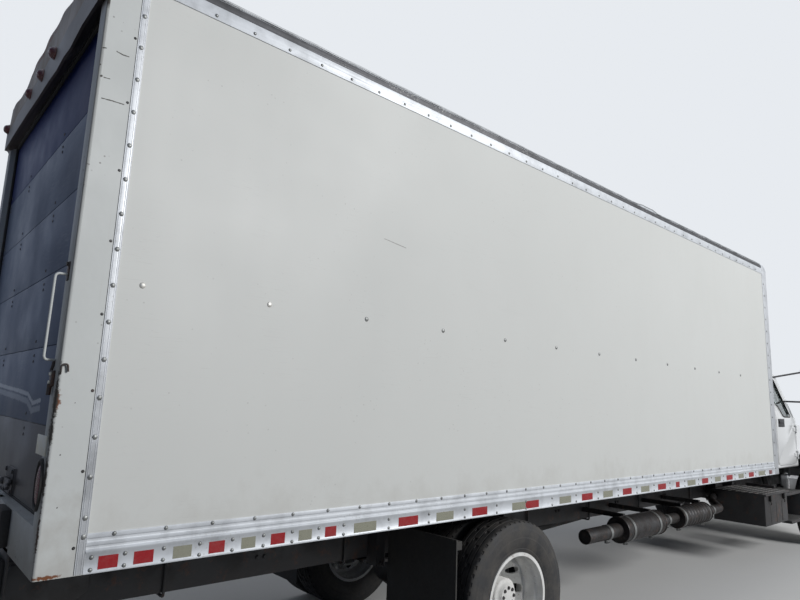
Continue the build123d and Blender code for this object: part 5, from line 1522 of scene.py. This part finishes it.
class TRUCK_OT_cab_fittings(bpy.types.Operator):
    """Marker lamps, gaskets, gutters, wipers and step treads of the cab"""

    bl_idname = "truck.cab_fittings"
    bl_label = "Cab Fittings"

    def execute(self, context):
        dome = lathe(((0.0, 0.026), (0.018, 0.024), (0.032, 0.014), (0.036, 0.0), (0.036, -0.004)), 20)
        pad = lathe(((0.0, 0.004), (0.04, 0.004), (0.044, -0.004)), 20)
        spots = [spot(x, 8.78, 2.4495, UP, 0.0, (1.0, 1.8, 1.0)) for x in (-0.62, -0.17, 0.0, 0.17, 0.62)]
        stamped("marker_lamps", "amber_lens", dome, spots)
        stamped("marker_lamp_bases", "plastic", pad, spots)
        mesh = bmesh.new()
        screen = ((-0.9, 1.85), (-0.82, 2.33), (0.82, 2.33), (0.9, 1.85))
        tube(mesh, [on_screen(x, z, -0.004) for x, z in screen], 0.013, 8, bend=0.07, steps=4, closed=True)
        back = ((-0.5, 1.87), (-0.5, 2.25), (0.5, 2.25), (0.5, 1.87))
        tube(mesh, [(x, 8.302, z) for x, z in back], 0.011, 8, bend=0.06, steps=4, closed=True)
        add_piece(mesh, "cab_gaskets", "seal")
        mesh = bmesh.new()
        knob = lathe(((0.0, 0.016), (0.012, 0.015), (0.016, 0.006), (0.018, -0.01)), 14)
        for pivot, low, high in ((-0.3, -0.8, -0.22), (0.42, -0.06, 0.56)):
            foot = on_screen(pivot, 1.832, 0.002)
            middle = on_screen((low + high) / 2, 1.895, 0.008)
            stamp(mesh, knob, [spot(*foot, (0, -0.824, 0.567))])
            tube(mesh, (foot, foot.lerp(middle, 0.5) + Vector((0, 0.006, 0.004)), middle), 0.006)
            tube(mesh, [on_screen(x, 1.887, -0.002) for x in (low, (low + high) / 2, high)], 0.006, 6)
        add_piece(mesh, "wipers", "plastic")
        mesh = bmesh.new()
        for side in (-1, 1):
            bend = ((0.929, 8.44, 2.37), (0.929, 8.95, 2.37), (1.038, 9.365, 1.778))
            path = [(side * x, station, z) for x, station, z in bend]
            tube(mesh, path, 0.008, 8, bend=0.12)
        add_piece(mesh, "drip_gutters", "cab")
        mesh = bmesh.new()
        for side in (-1, 1):
            for low, reach in ((0.454, 1.138), (0.794, 1.098)):
                for index in range(12):
                    start = 8.67 + index * 0.052
                    slab(mesh, side, 0.83, reach, start, start + 0.014, low - 0.001, low + 0.004)
        add_piece(mesh, "step_treads", "zinc", slot="bare_aluminium", smooth=None)
        return {"FINISHED"}


class TRUCK_OT_door_fittings(bpy.types.Operator):
    """Window gaskets, handles, trims and mirror glass of the cab doors"""

    bl_idname = "truck.door_fittings"
    bl_label = "Door Fittings"

    def execute(self, context):
        lock = lathe(((0.0, 0.006), (0.009, 0.005), (0.011, 0.0), (0.011, -0.004)), 16)
        for side_name, side in SIDES:
            body = "door_" + side_name
            mesh = bmesh.new()
            window = ((8.725, 1.96), (8.725, 2.285), (8.89, 2.285), (9.255, 1.775), (8.96, 1.775), (8.84, 1.9))
            path = [(side * (cab_side_x(z) - 0.003), station, z) for station, z in window]
            tube(mesh, path, 0.01, 8, bend=0.04, steps=4, closed=True)
            add_piece(mesh, "window_gasket_" + side_name, "seal", body=body)
            mesh = bmesh.new()
            slab(mesh, side, 1.04, 1.0495, 8.72, 8.96, 1.64, 1.748, 0.004)
            slab(mesh, side, 1.049, 1.062, 8.735, 8.9, 1.69, 1.728, 0.006)
            stamp(mesh, lock, [spot(side * 1.05, 8.93, 1.705, (side, 0, 0))])
            add_piece(mesh, "door_handle_" + side_name, "plastic", body=body)
            mesh = bmesh.new()
            slab(mesh, side, 0.988, 1.0035, 8.705, 9.345, 1.18, 1.7, 0.006)
            slab(mesh, side, 0.93, 0.99, 8.76, 9.09, 1.49, 1.545, 0.02)
            slab(mesh, side, 0.96, 0.99, 8.8, 9.25, 1.2, 1.33, 0.012)
            add_piece(mesh, "door_trim_" + side_name, "grey_plastic", body=body)
            mesh = bmesh.new()
            slab(mesh, side, 0.972, 0.99, 9.14, 9.24, 1.6, 1.625, 0.004)
            handle = [(side * 0.988, 9.17, 1.42), (side * 0.962, 9.17, 1.42), (side * 0.958, 9.24, 1.38)]
            tube(mesh, handle, 0.006, bend=0.01)
            add_piece(mesh, "door_levers_" + side_name, "chrome", body=body, slot="chassis_black")
            mesh = bmesh.new()
            slab(mesh, side, 1.198, 1.402, 9.2832, 9.288, 2.1, 2.425, 0.0015)
            slab(mesh, side, 1.198, 1.402, 9.2825, 9.288, 1.975, 2.085, 0.0015)
            add_piece(mesh, "mirror_glass_" + side_name, "mirror", body=body)
        return {"FINISHED"}


class TRUCK_OT_hood_fittings(bpy.types.Operator):
    """Grille bars and surround, headlamp bowls, turn lamps, arch lips and latches"""

    bl_idname = "truck.hood_fittings"
    bl_label = "Hood Fittings"

    def execute(self, context):
        mesh = bmesh.new()
        rim = ((-0.43, 0.93), (-0.43, 1.15), (-0.43, 1.38), (0.43, 1.38), (0.43, 1.15), (0.43, 0.93))
        path = [(x, 10.951 - 0.2414 * max(0.0, z - 1.15), z) for x, z in rim]
        tube(mesh, path, 0.011, 10, bend=0.05, steps=4, closed=True)
        add_piece(mesh, "grille_surround", "chrome", body="hood")
        mesh = bmesh.new()
        for index in range(27):
            x = -0.39 + index * 0.03
            block(mesh, (x - 0.002, 10.886, 0.965), (x + 0.002, 10.878, 1.345))
        add_piece(mesh, "grille_mesh", "plastic", body="hood", smooth=None)
        bezel = lathe(
            ((0.072, 0.002), (0.076, 0.012), (0.086, 0.014), (0.092, 0.008), (0.093, -0.004), (0.072, -0.004)), 36
        )
        lens = lathe(
            ((0.0, 0.018), (0.03, 0.0165), (0.055, 0.012), (0.073, 0.003), (0.074, -0.003), (0.0, -0.003)), 36
        )
        bowl = lathe(((0.0, 0.0015), (0.01, 0.0012), (0.072, 0.0008), (0.073, -0.002), (0.0, -0.002)), 36)
        spots = [spot(side * 0.655, 10.9505, 1.09, AHEAD) for side in (-1, 1)]
        for name, shape, finish in (
            ("headlamp_bezels", bezel, "chrome"), ("headlamp_bowls", bowl, "mirror"),
            ("headlamp_lenses", lens, "clear")
        ):
            stamped(name, finish, shape, spots, body="hood", slot="clear_lamp")
        for name, finish, outer in (("headlamp_frames", "grey_plastic", False), ("turn_lamps", "amber_lens", True)):
            mesh = merged_copy("headlamps")
            for side in (-1, 1):
                beyond = [face for face in mesh.faces if side * face.calc_center_median().x > 0]
                clear = {"clear_inner": outer, "clear_outer": not outer}
                cut(mesh, beyond, (side * 0.768, 0, 0), (side, 0, 0), **clear)
            bmesh.ops.holes_fill(mesh, edges=[edge for edge in mesh.edges if edge.is_boundary])
            nodes = ("headlamps",) if outer else ()
            add_piece(mesh, name, finish, "hood", "clear_lamp", replaces=nodes, clean=False)
        lens = lathe(((0.0, 0.014), (0.02, 0.012), (0.03, 0.005), (0.033, -0.004)), 20)
        stamped(
            "fender_lamps", "amber_lens", lens,
            [spot(side * 1.179, 10.44, 1.1, (side, 0, 0), 0.0, (1, 1.8, 1)) for side in (-1, 1)], body="hood"
        )
        mesh = bmesh.new()
        for side in (-1, 1):
            path = []
            for index in range(29):
                angle = pi * index / 28
                station = FRONT_AXLE + 0.578 * cos(angle)
                x = 1.176 - max(0.0, station - 10.412) ** 2 / 1.2
                path.append((side * x, station, AXLE_Z + 0.578 * sin(angle)))
            path = [point for point in path if point[2] > 0.62]
            tube(mesh, path, 0.007, 8)
        add_piece(mesh, "arch_lips", "seal", body="hood")
        mesh = bmesh.new()
        for side in (-1, 1):
            slab(mesh, side, 0.925, 0.948, 9.455, 9.56, 1.41, 1.46, 0.008)
            tube(mesh, ((side * 0.95, 9.47, 1.435), (side * 0.956, 9.55, 1.435)), 0.009)
        add_piece(mesh, "hood_latches", "seal", body="hood")
        return {"FINISHED"}


class TRUCK_OT_bumper_fittings(bpy.types.Operator):
    """Bolts and blank plate of the front bumper"""

    bl_idname = "truck.bumper_fittings"
    bl_label = "Bumper Fittings"

    def execute(self, context):
        bolt = dome_shape(0.016, 0.008, 14)
        spots = []
        for side in (-1, 1):
            for x in (0.3, 0.8):
                place = 11.0855 - 0.0535 * x
                spots += [spot(side * x, place, z, (side * 0.053, -1, 0)) for z in (0.575, 0.735)]
        stamped("bumper_bolts", "chrome", bolt, spots)
        mesh = bmesh.new()
        cube(mesh, (0.306, 0.155, 0.003), spot(0.55, 11.0565, 0.655, (0.053, -1, 0)))
        add_piece(mesh, "front_plate", "cream")
        return {"FINISHED"}


# Engine


class TRUCK_OT_engine_dressing(bpy.types.Operator):
    """Covers, manifold, fan, pulleys, hoses and air cleaner round the engine block"""

    bl_idname = "truck.engine_dressing"
    bl_label = "Engine Dressing"

    def execute(self, context):
        nut = hex_shape(0.018, 0.01, 0.012)
        mesh = bmesh.new()
        block(mesh, (-0.15, 10.4, 1.43), (0.15, 9.62, 1.52), 0.03, 3)
        block(mesh, (0.2, 10.36, 1.2), (0.36, 9.7, 1.32), 0.03, 3)
        for index in range(6):
            station = 9.76 + index * 0.11
            tube(mesh, ((-0.29, station, 1.3), (-0.37, station, 1.25)), 0.028, 12)
        tube(mesh, ((-0.375, 9.72, 1.235), (-0.375, 10.35, 1.235)), 0.042, 16)
        add_piece(mesh, "engine_covers", "iron", slot="engine_iron")
        mesh = bmesh.new()
        spots = [spot(x, 9.68 + index * 0.11, 1.4365, UP) for index in range(7) for x in (-0.175, 0.175)]
        stamp(mesh, nut, spots)
        cap = lathe(((0.0, 0.026), (0.032, 0.026), (0.036, 0.02), (0.036, 0.006), (0.026, 0.004), (0.026, -0.01)), 12)
        stamp(mesh, cap, [spot(0.0, 10.26, 1.519, UP), spot(0.0, 10.608, 1.442, UP)])
        add_piece(mesh, "engine_caps", "zinc")
        mesh = bmesh.new()
        pulley = lathe(
            ((0.0, 0.012), (0.05, 0.012), (0.055, 0.03), (0.08, 0.03), (0.07, 0.015), (0.08, 0.0), (0.0, 0.0)), 28
        )
        wheels = ((0.0, 0.82, 1.35), (0.0, 1.09, 1.0), (0.23, 1.26, 0.62))
        stamp(mesh, pulley, [spot(x, 10.48, z, AHEAD, 0.0, (k, k, 1)) for x, z, k in wheels])
        drum = lathe(((0.0, 0.07), (0.06, 0.07), (0.078, 0.055), (0.08, -0.055), (0.06, -0.07), (0.0, -0.07)), 24)
        stamp(mesh, drum, [spot(0.33, 10.38, 1.26, AHEAD)])
        for index in range(8):
            blade = Matrix.Rotation(pi * index / 4, 4, "Z") @ Matrix.Rotation(radians(24), 4, "Y")
            blade @= Matrix.Translation((0.0, 0.165, 0.0))
            cube(mesh, (0.085, 0.2, 0.004), spot(0.0, 10.535, 1.09, AHEAD) @ blade)
        tube(mesh, ((0.0, 10.5, 1.09), (0.0, 10.548, 1.09)), 0.07, 24)
        add_piece(mesh, "fan_and_pulleys", "black", slot="engine_iron")
        mesh = bmesh.new()
        for loop in (
            ((-0.11, 0.8), (-0.082, 1.12), (0.0, 1.174), (0.082, 1.12), (0.11, 0.8), (0.0, 0.71)),
            ((-0.06, 1.15), (0.2, 1.312), (0.275, 1.29), (0.27, 1.21), (0.07, 1.03))
        ):
            tube(mesh, [(x, 10.495, z) for x, z in loop], 0.007, 6, bend=0.06, closed=True)
        hose = ((0.1, 10.38, 1.46), (0.12, 10.5, 1.475), (0.14, 10.575, 1.41))
        tube(mesh, hose, 0.028, 14, bend=0.05)
        hose = ((-0.22, 10.46, 0.84), (-0.24, 10.52, 0.83), (-0.26, 10.575, 0.85))
        tube(mesh, hose, 0.03, 14, bend=0.04)
        hose = ((0.52, 9.78, 1.46), (0.46, 9.78, 1.53), (0.33, 9.86, 1.45), (0.28, 9.92, 1.31))
        tube(mesh, hose, 0.048, 18, bend=0.06)
        for x in (-0.22, 0.22):
            tube(mesh, ((x, 9.46, 1.3), (x, 9.52, 1.33), (x * 1.2, 9.6, 1.25)), 0.012, bend=0.03)
        add_piece(mesh, "engine_hoses", "seal")
        mesh = bmesh.new()
        canister = lathe(
            (
                (0.0, 0.26), (0.1, 0.26), (0.128, 0.245), (0.13, 0.12), (0.134, 0.115), (0.134, 0.095), (0.13, 0.09),
                (0.13, -0.245), (0.1, -0.26), (0.0, -0.26)
            ),
            32
        )
        stamp(mesh, canister, [spot(0.55, 9.86, 1.34, AHEAD)])
        block(mesh, (-0.62, 9.78, 1.26), (-0.46, 9.56, 1.46), 0.03, 3)
        booster = lathe(
            ((0.0, 0.11), (0.05, 0.11), (0.06, 0.07), (0.12, 0.06), (0.125, 0.02), (0.11, 0.0), (0.0, 0.0)), 28
        )
        stamp(mesh, booster, [spot(0.48, 9.444, 1.5, AHEAD)])
        add_piece(mesh, "air_cleaner", "black")
        mesh = bmesh.new()
        for side in (-1, 1):
            tube(mesh, ((side * 0.3, 10.61, 1.425), (side * 0.42, 9.446, 1.55)), 0.008)
        for index in range(21):
            z = 0.88 + index * 0.024
            block(mesh, (-0.315, 10.6665, z), (0.315, 10.661, z + 0.006))
        add_piece(mesh, "cooler_stays", "zinc", slot="cooler_aluminium", smooth=None)
        return {"FINISHED"}


# Cabin


# The cushions' cloth: voxel size of the mesh, pressure inside and frames that it runs
VOXEL = 0.008
PRESSURE = 4.0
FRAMES = 20


def swollen(mesh, name, cap, foot):
    """A closed shape blown up as cloth: no point moves further than cap, or 2 mm below foot."""
    scene = bpy.context.scene
    piece = bpy.data.objects.new(name, as_shape(mesh, name))
    scene.collection.objects.link(piece)
    remesh = piece.modifiers.new("remesh", "REMESH")
    remesh.mode = "VOXEL"
    remesh.voxel_size = VOXEL
    made = bmesh.new()
    made.from_object(piece, bpy.context.evaluated_depsgraph_get())
    piece.modifiers.clear()
    made.to_mesh(piece.data)
    cloth = piece.modifiers.new("cloth", "CLOTH")
    cloth.settings.use_pressure = True
    cloth.settings.uniform_pressure_force = PRESSURE
    cloth.settings.effector_weights.gravity = 0.0
    for number in range(1, FRAMES + 1):
        scene.frame_set(number)
    moved = piece.evaluated_get(bpy.context.evaluated_depsgraph_get()).data
    for vert, place in zip(made.verts, moved.vertices):
        step = place.co - vert.co
        limit = 0.002 if vert.co.z < foot else cap
        vert.co += step * min(1.0, limit / max(step.length, 1e-6))
    scene.frame_set(1)
    bpy.data.objects.remove(piece)
    return made


def press_channels(mesh, centres, axis, depth):
    """Presses sewn channels into a cushion, across one axis."""
    mesh.normal_update()
    for vert in mesh.verts:
        for centre in centres:
            gap = (vert.co[axis] - centre) / 0.012
            vert.co -= vert.normal * depth * 2.718 ** (-gap * gap)


class TRUCK_OT_seats(bpy.types.Operator):
    """Padded driver's seat and bench on steel pedestals, with their belts"""

    bl_idname = "truck.seats"
    bl_label = "Seats"

    def execute(self, context):
        base = bmesh.new()
        belts = bmesh.new()
        for name, centre, half, count in (("driver", 0.48, 0.26, 3), ("bench", -0.34, 0.45, 5)):
            block(base, (centre - half + 0.04, 8.77, 1.142), (centre + half - 0.04, 8.46, 1.385), 0.012)
            block(base, (centre - half + 0.01, 8.865, 1.385), (centre + half - 0.01, 8.455, 1.404), 0.006)
            pitch = 2 * half / count
            seams = [centre - half + pitch * (index + 1) for index in range(count - 1)]
            mesh = bmesh.new()
            low = (centre - half + 0.01, 8.875, 1.406)
            block(mesh, low, (centre + half - 0.01, 8.575, 1.535), 0.035, 3)
            mesh = swollen(mesh, name + "_cushion", 0.022, 1.41)
            press_channels(mesh, seams, 0, 0.007)
            press_channels(mesh, (at(8.84), at(8.62)), 1, 0.004)
            cushion = add_piece(mesh, name + "_cushion", "cloth", smooth=60.0, clean=False)
            mesh = bmesh.new()
            low = (centre - half + 0.012, 8.552, 1.5)
            block(mesh, low, (centre + half - 0.012, 8.46, 2.045), 0.035, 3)
            for vert in mesh.verts:
                vert.co.y += 0.14 * (vert.co.z - 1.5)
            mesh = swollen(mesh, name + "_back", 0.018, 1.5)
            press_channels(mesh, seams, 0, 0.007)
            press_channels(mesh, (1.6, 1.97), 2, 0.004)
            back = add_piece(mesh, name + "_back", "cloth", smooth=60.0, clean=False)
            for piece, fill in ((cushion, 0.7), (back, 0.6)):
                smooth = piece.modifiers.new("smooth", "SUBSURF")
                smooth.levels = smooth.render_levels = 1
            if name == "driver":
                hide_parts("seats")
        for side in (-1, 1):
            flat_bar(belts, (side * 0.925, 8.5, 2.16), (side * 0.975, 8.52, 1.24), 0.046, 0.0025, pi / 2)
            flat_bar(belts, (side * 0.755, 8.6, 1.45), (side * 0.8, 8.56, 1.2), 0.046, 0.0025, pi / 2)
        add_piece(base, "seat_bases", "black")
        add_piece(belts, "seat_belts", "cloth", smooth=None)
        return {"FINISHED"}


class TRUCK_OT_cabin(bpy.types.Operator):
    """Gauges, vents, pedals, gear lever, visors and inner mirror"""

    bl_idname = "truck.cabin"
    bl_label = "Cabin"

    def execute(self, context):
        ring = lathe(((0.04, 0.0), (0.046, 0.0), (0.046, 0.01), (0.042, 0.012), (0.04, 0.006)), 28)
        dial = lathe(((0.0, 0.003), (0.042, 0.003), (0.042, 0.0)), 28)
        aim = (0, 0.974, 0.225)
        places = [(0.32, 0.6), (0.4, 1.0), (0.56, 1.0), (0.64, 0.6)]
        spots = [spot(x, 9.14, 1.63, aim, 0.0, (k, k, 1)) for x, k in places]
        for name, shape, finish in (("gauge_rings", ring, "chrome"), ("gauge_dials", dial, "seal")):
            stamped(name, finish, shape, spots, slot="black_plastic")
        mesh = bmesh.new()
        for x in (-0.8, -0.3, -0.1, 0.82):
            for index in range(5):
                block(mesh, (x - 0.07, 9.15, 1.602 + index * 0.013), (x + 0.07, 9.134, 1.607 + index * 0.013))
        for x in (0.38, 0.48, 0.59):
            tube(mesh, ((x, 9.31, 1.42), (x, 9.285, 1.24)), 0.008)
            block(mesh, (x - 0.035, 9.288, 1.2), (x + 0.035, 9.27, 1.265), 0.006)
        lever = ((0.155, 9.04, 1.15), (0.16, 9.03, 1.4), (0.17, 8.96, 1.6))
        tube(mesh, lever, 0.009, bend=0.1)
        knob = lathe(((0.0, 0.05), (0.018, 0.046), (0.026, 0.03), (0.022, 0.008), (0.01, 0.0)), 20)
        boot = lathe(((0.016, 0.11), (0.03, 0.085), (0.034, 0.06), (0.055, 0.045), (0.06, 0.02), (0.085, 0.0)), 24)
        stamp(mesh, knob, [spot(0.17, 8.96, 1.59, UP)])
        stamp(mesh, boot, [spot(0.155, 9.04, 1.141, UP)])
        add_piece(mesh, "cabin_controls", "plastic")
        mesh = bmesh.new()
        for side in (-1, 1):
            slab(mesh, side, 0.12, 0.74, 8.72, 8.88, 2.372, 2.39, 0.007)
        block(mesh, (-1.0, 9.38, 1.1405), (1.0, 8.4, 1.15), 0.003)
        add_piece(mesh, "cabin_trims", "grey_plastic")
        mesh = bmesh.new()
        block(mesh, (-0.11, 8.945, 2.255), (0.11, 8.92, 2.32), 0.008)
        tube(mesh, ((0.0, 8.94, 2.31), (0.0, 8.965, 2.36)), 0.006)
        add_piece(mesh, "inner_mirror", "plastic")
        mesh = bmesh.new()
        block(mesh, (-0.1, 8.9205, 2.263), (0.1, 8.9185, 2.312), 0.0005)
        add_piece(mesh, "inner_mirror_glass", "mirror")
        return {"FINISHED"}


# Stage


# The camera as solved from the photograph: metres, direction and degrees
CAMERA_PLACE = (-3.8377, 6.0626, 1.775)
CAMERA_AIM = (0.7423, -0.6485, 0.169)
CAMERA_ROLL = 2.1


class TRUCK_OT_stage(bpy.types.Operator):
    """Pale floor, soft lights and the camera at the photograph's place"""

    bl_idname = "truck.stage"
    bl_label = "Stage"

    def execute(self, context):
        scene = context.scene
        look = scene.truck_stage
        scene.view_settings.view_transform = "Standard"
        mesh = bmesh.new()
        bmesh.ops.create_grid(mesh, x_segments=1, y_segments=1, size=60.0)
        data = bpy.data.meshes.new("floor")
        mesh.to_mesh(data)
        mesh.free()
        floor = bpy.data.objects.new("floor", data)
        scene.collection.objects.link(floor)
        n = Finish("floor")
        cloud = n.noise(n.place, 0.7, 6.0, 0.6)
        bounced = n.add("LightPath").outputs["Is Diffuse Ray"]
        tone = n.mix(cloud, look.floor, dimmed(look.floor, 0.94))
        data.materials.append(n.close(n.mix(bounced, tone, (0.12, 0.12, 0.12)), 0.9, Specular_IOR_Level=0.0))

        world = bpy.data.worlds.new("studio")
        world.use_nodes = True
        scene.world = world
        n = Nodes(world.node_tree)
        path = n.add("LightPath").outputs
        direction = n.parts(n.add("TexCoord").outputs["Generated"])
        behind = n.range(direction[1], -0.1, 0.5)
        shade = n.range(behind, 0.0, 1.0, 1.0, look.rear_shade)
        dim = n.range(behind, 0.0, 1.0, 1.0, look.rear_shade * 0.6)
        seen = n.math("MAXIMUM", path["Is Camera Ray"], path["Is Transmission Ray"])
        mirrored = n.times(path["Is Glossy Ray"], dim)
        diffuse = n.times(path["Is Diffuse Ray"], n.times(shade, look.fill))
        strength = n.math("MAXIMUM", seen, n.math("MAXIMUM", mirrored, diffuse))
        unseen = n.times(behind, n.math("SUBTRACT", 1.0, seen))
        tone = n.mix(unseen, look.backdrop, (0.5, 0.66, 1.0))
        backdrop = n.add("Background", {"Color": tone, "Strength": strength})
        n.feed(n.add("OutputWorld").inputs["Surface"], backdrop.outputs[0])

        for name, place, target, size, power in (
            ("key", (-17.0, -3.5, 9.5), (0.0, 0.5, 1.6), 7.0, look.key),
            ("front fill", (7.0, -13.0, 6.0), (0.0, -3.0, 1.5), 6.0, look.key * 0.13),
            ("rear fill", (5.0, 14.0, 6.0), (0.0, 3.0, 1.8), 6.0, look.key * 0.03)
        ):
            lamp = bpy.data.lights.new(name, "AREA")
            lamp.shape = "DISK"
            lamp.size = size
            lamp.energy = power
            holder = bpy.data.objects.new(name, lamp)
            aim = Vector(target) - Vector(place)
            holder.matrix_world = Matrix.Translation(place) @ aim.to_track_quat("-Z", "Y").to_matrix().to_4x4()
            scene.collection.objects.link(holder)

        lens = bpy.data.cameras.new("camera")
        lens.sensor_fit = "HORIZONTAL"
        lens.sensor_width = 36.0
        lens.lens = 27.0
        lens.clip_end = 200.0
        camera = bpy.data.objects.new("camera", lens)
        forward = Vector(CAMERA_AIM).normalized()
        level = forward.cross(Vector(UP)).normalized()
        upright = level.cross(forward)
        roll = radians(CAMERA_ROLL)
        right = level * cos(roll) + upright * sin(roll)
        up = upright * cos(roll) - level * sin(roll)
        turned = Matrix((right, up, -forward)).transposed().to_4x4()
        camera.matrix_world = Matrix.Translation(CAMERA_PLACE) @ turned
        scene.collection.objects.link(camera)
        scene.camera = camera
        return {"FINISHED"}


STEPS = (
    TRUCK_OT_stage, TRUCK_OT_box_skins, TRUCK_OT_trim_strips, TRUCK_OT_rivets, TRUCK_OT_tape, TRUCK_OT_rear_lamps,
    TRUCK_OT_rear_fittings, TRUCK_OT_front_wall_fittings, TRUCK_OT_tyres, TRUCK_OT_wheels, TRUCK_OT_chassis,
    TRUCK_OT_springs, TRUCK_OT_steering_gear, TRUCK_OT_pipes, TRUCK_OT_exhaust_fittings, TRUCK_OT_tank_fittings,
    TRUCK_OT_cab, TRUCK_OT_cab_fittings, TRUCK_OT_door_fittings, TRUCK_OT_hood_fittings, TRUCK_OT_bumper_fittings,
    TRUCK_OT_engine_dressing, TRUCK_OT_seats, TRUCK_OT_cabin
)


class TRUCK_PT_panel(bpy.types.Panel):
    """Buttons for every piece of the truck and its settings"""

    bl_idname = "TRUCK_PT_panel"
    bl_label = "Box Truck"
    bl_space_type = "VIEW_3D"
    bl_region_type = "UI"
    bl_category = "Truck"

    def draw(self, context):
        layout = self.layout
        for step in STEPS:
            layout.operator(step.bl_idname)
        for name in SETTINGS:
            group = getattr(context.scene, name)
            box = layout.box()
            for key in group.__annotations__:
                box.prop(group, key)


SETTINGS = {
    "truck_paint": TruckPaint, "truck_fasteners": TruckFasteners, "truck_tyres": TruckTyres, "truck_stage": TruckStage
}


def register():
    for kind in (*SETTINGS.values(), *STEPS, TRUCK_PT_panel):
        bpy.utils.register_class(kind)
    for name, kind in SETTINGS.items():
        setattr(bpy.types.Scene, name, bpy.props.PointerProperty(type=kind))


def unregister():
    for name in SETTINGS:
        delattr(bpy.types.Scene, name)
    for kind in reversed((*SETTINGS.values(), *STEPS, TRUCK_PT_panel)):
        bpy.utils.unregister_class(kind)


def main():
    register()
    for row in EFFECTS:
        new_effect(*row)
    finishes.update(make_finishes(bpy.context.scene.truck_paint))
    for step in STEPS:
        area, call = step.bl_idname.split(".")
        getattr(getattr(bpy.ops, area), call)()


if __name__ == "__main__":
    main()
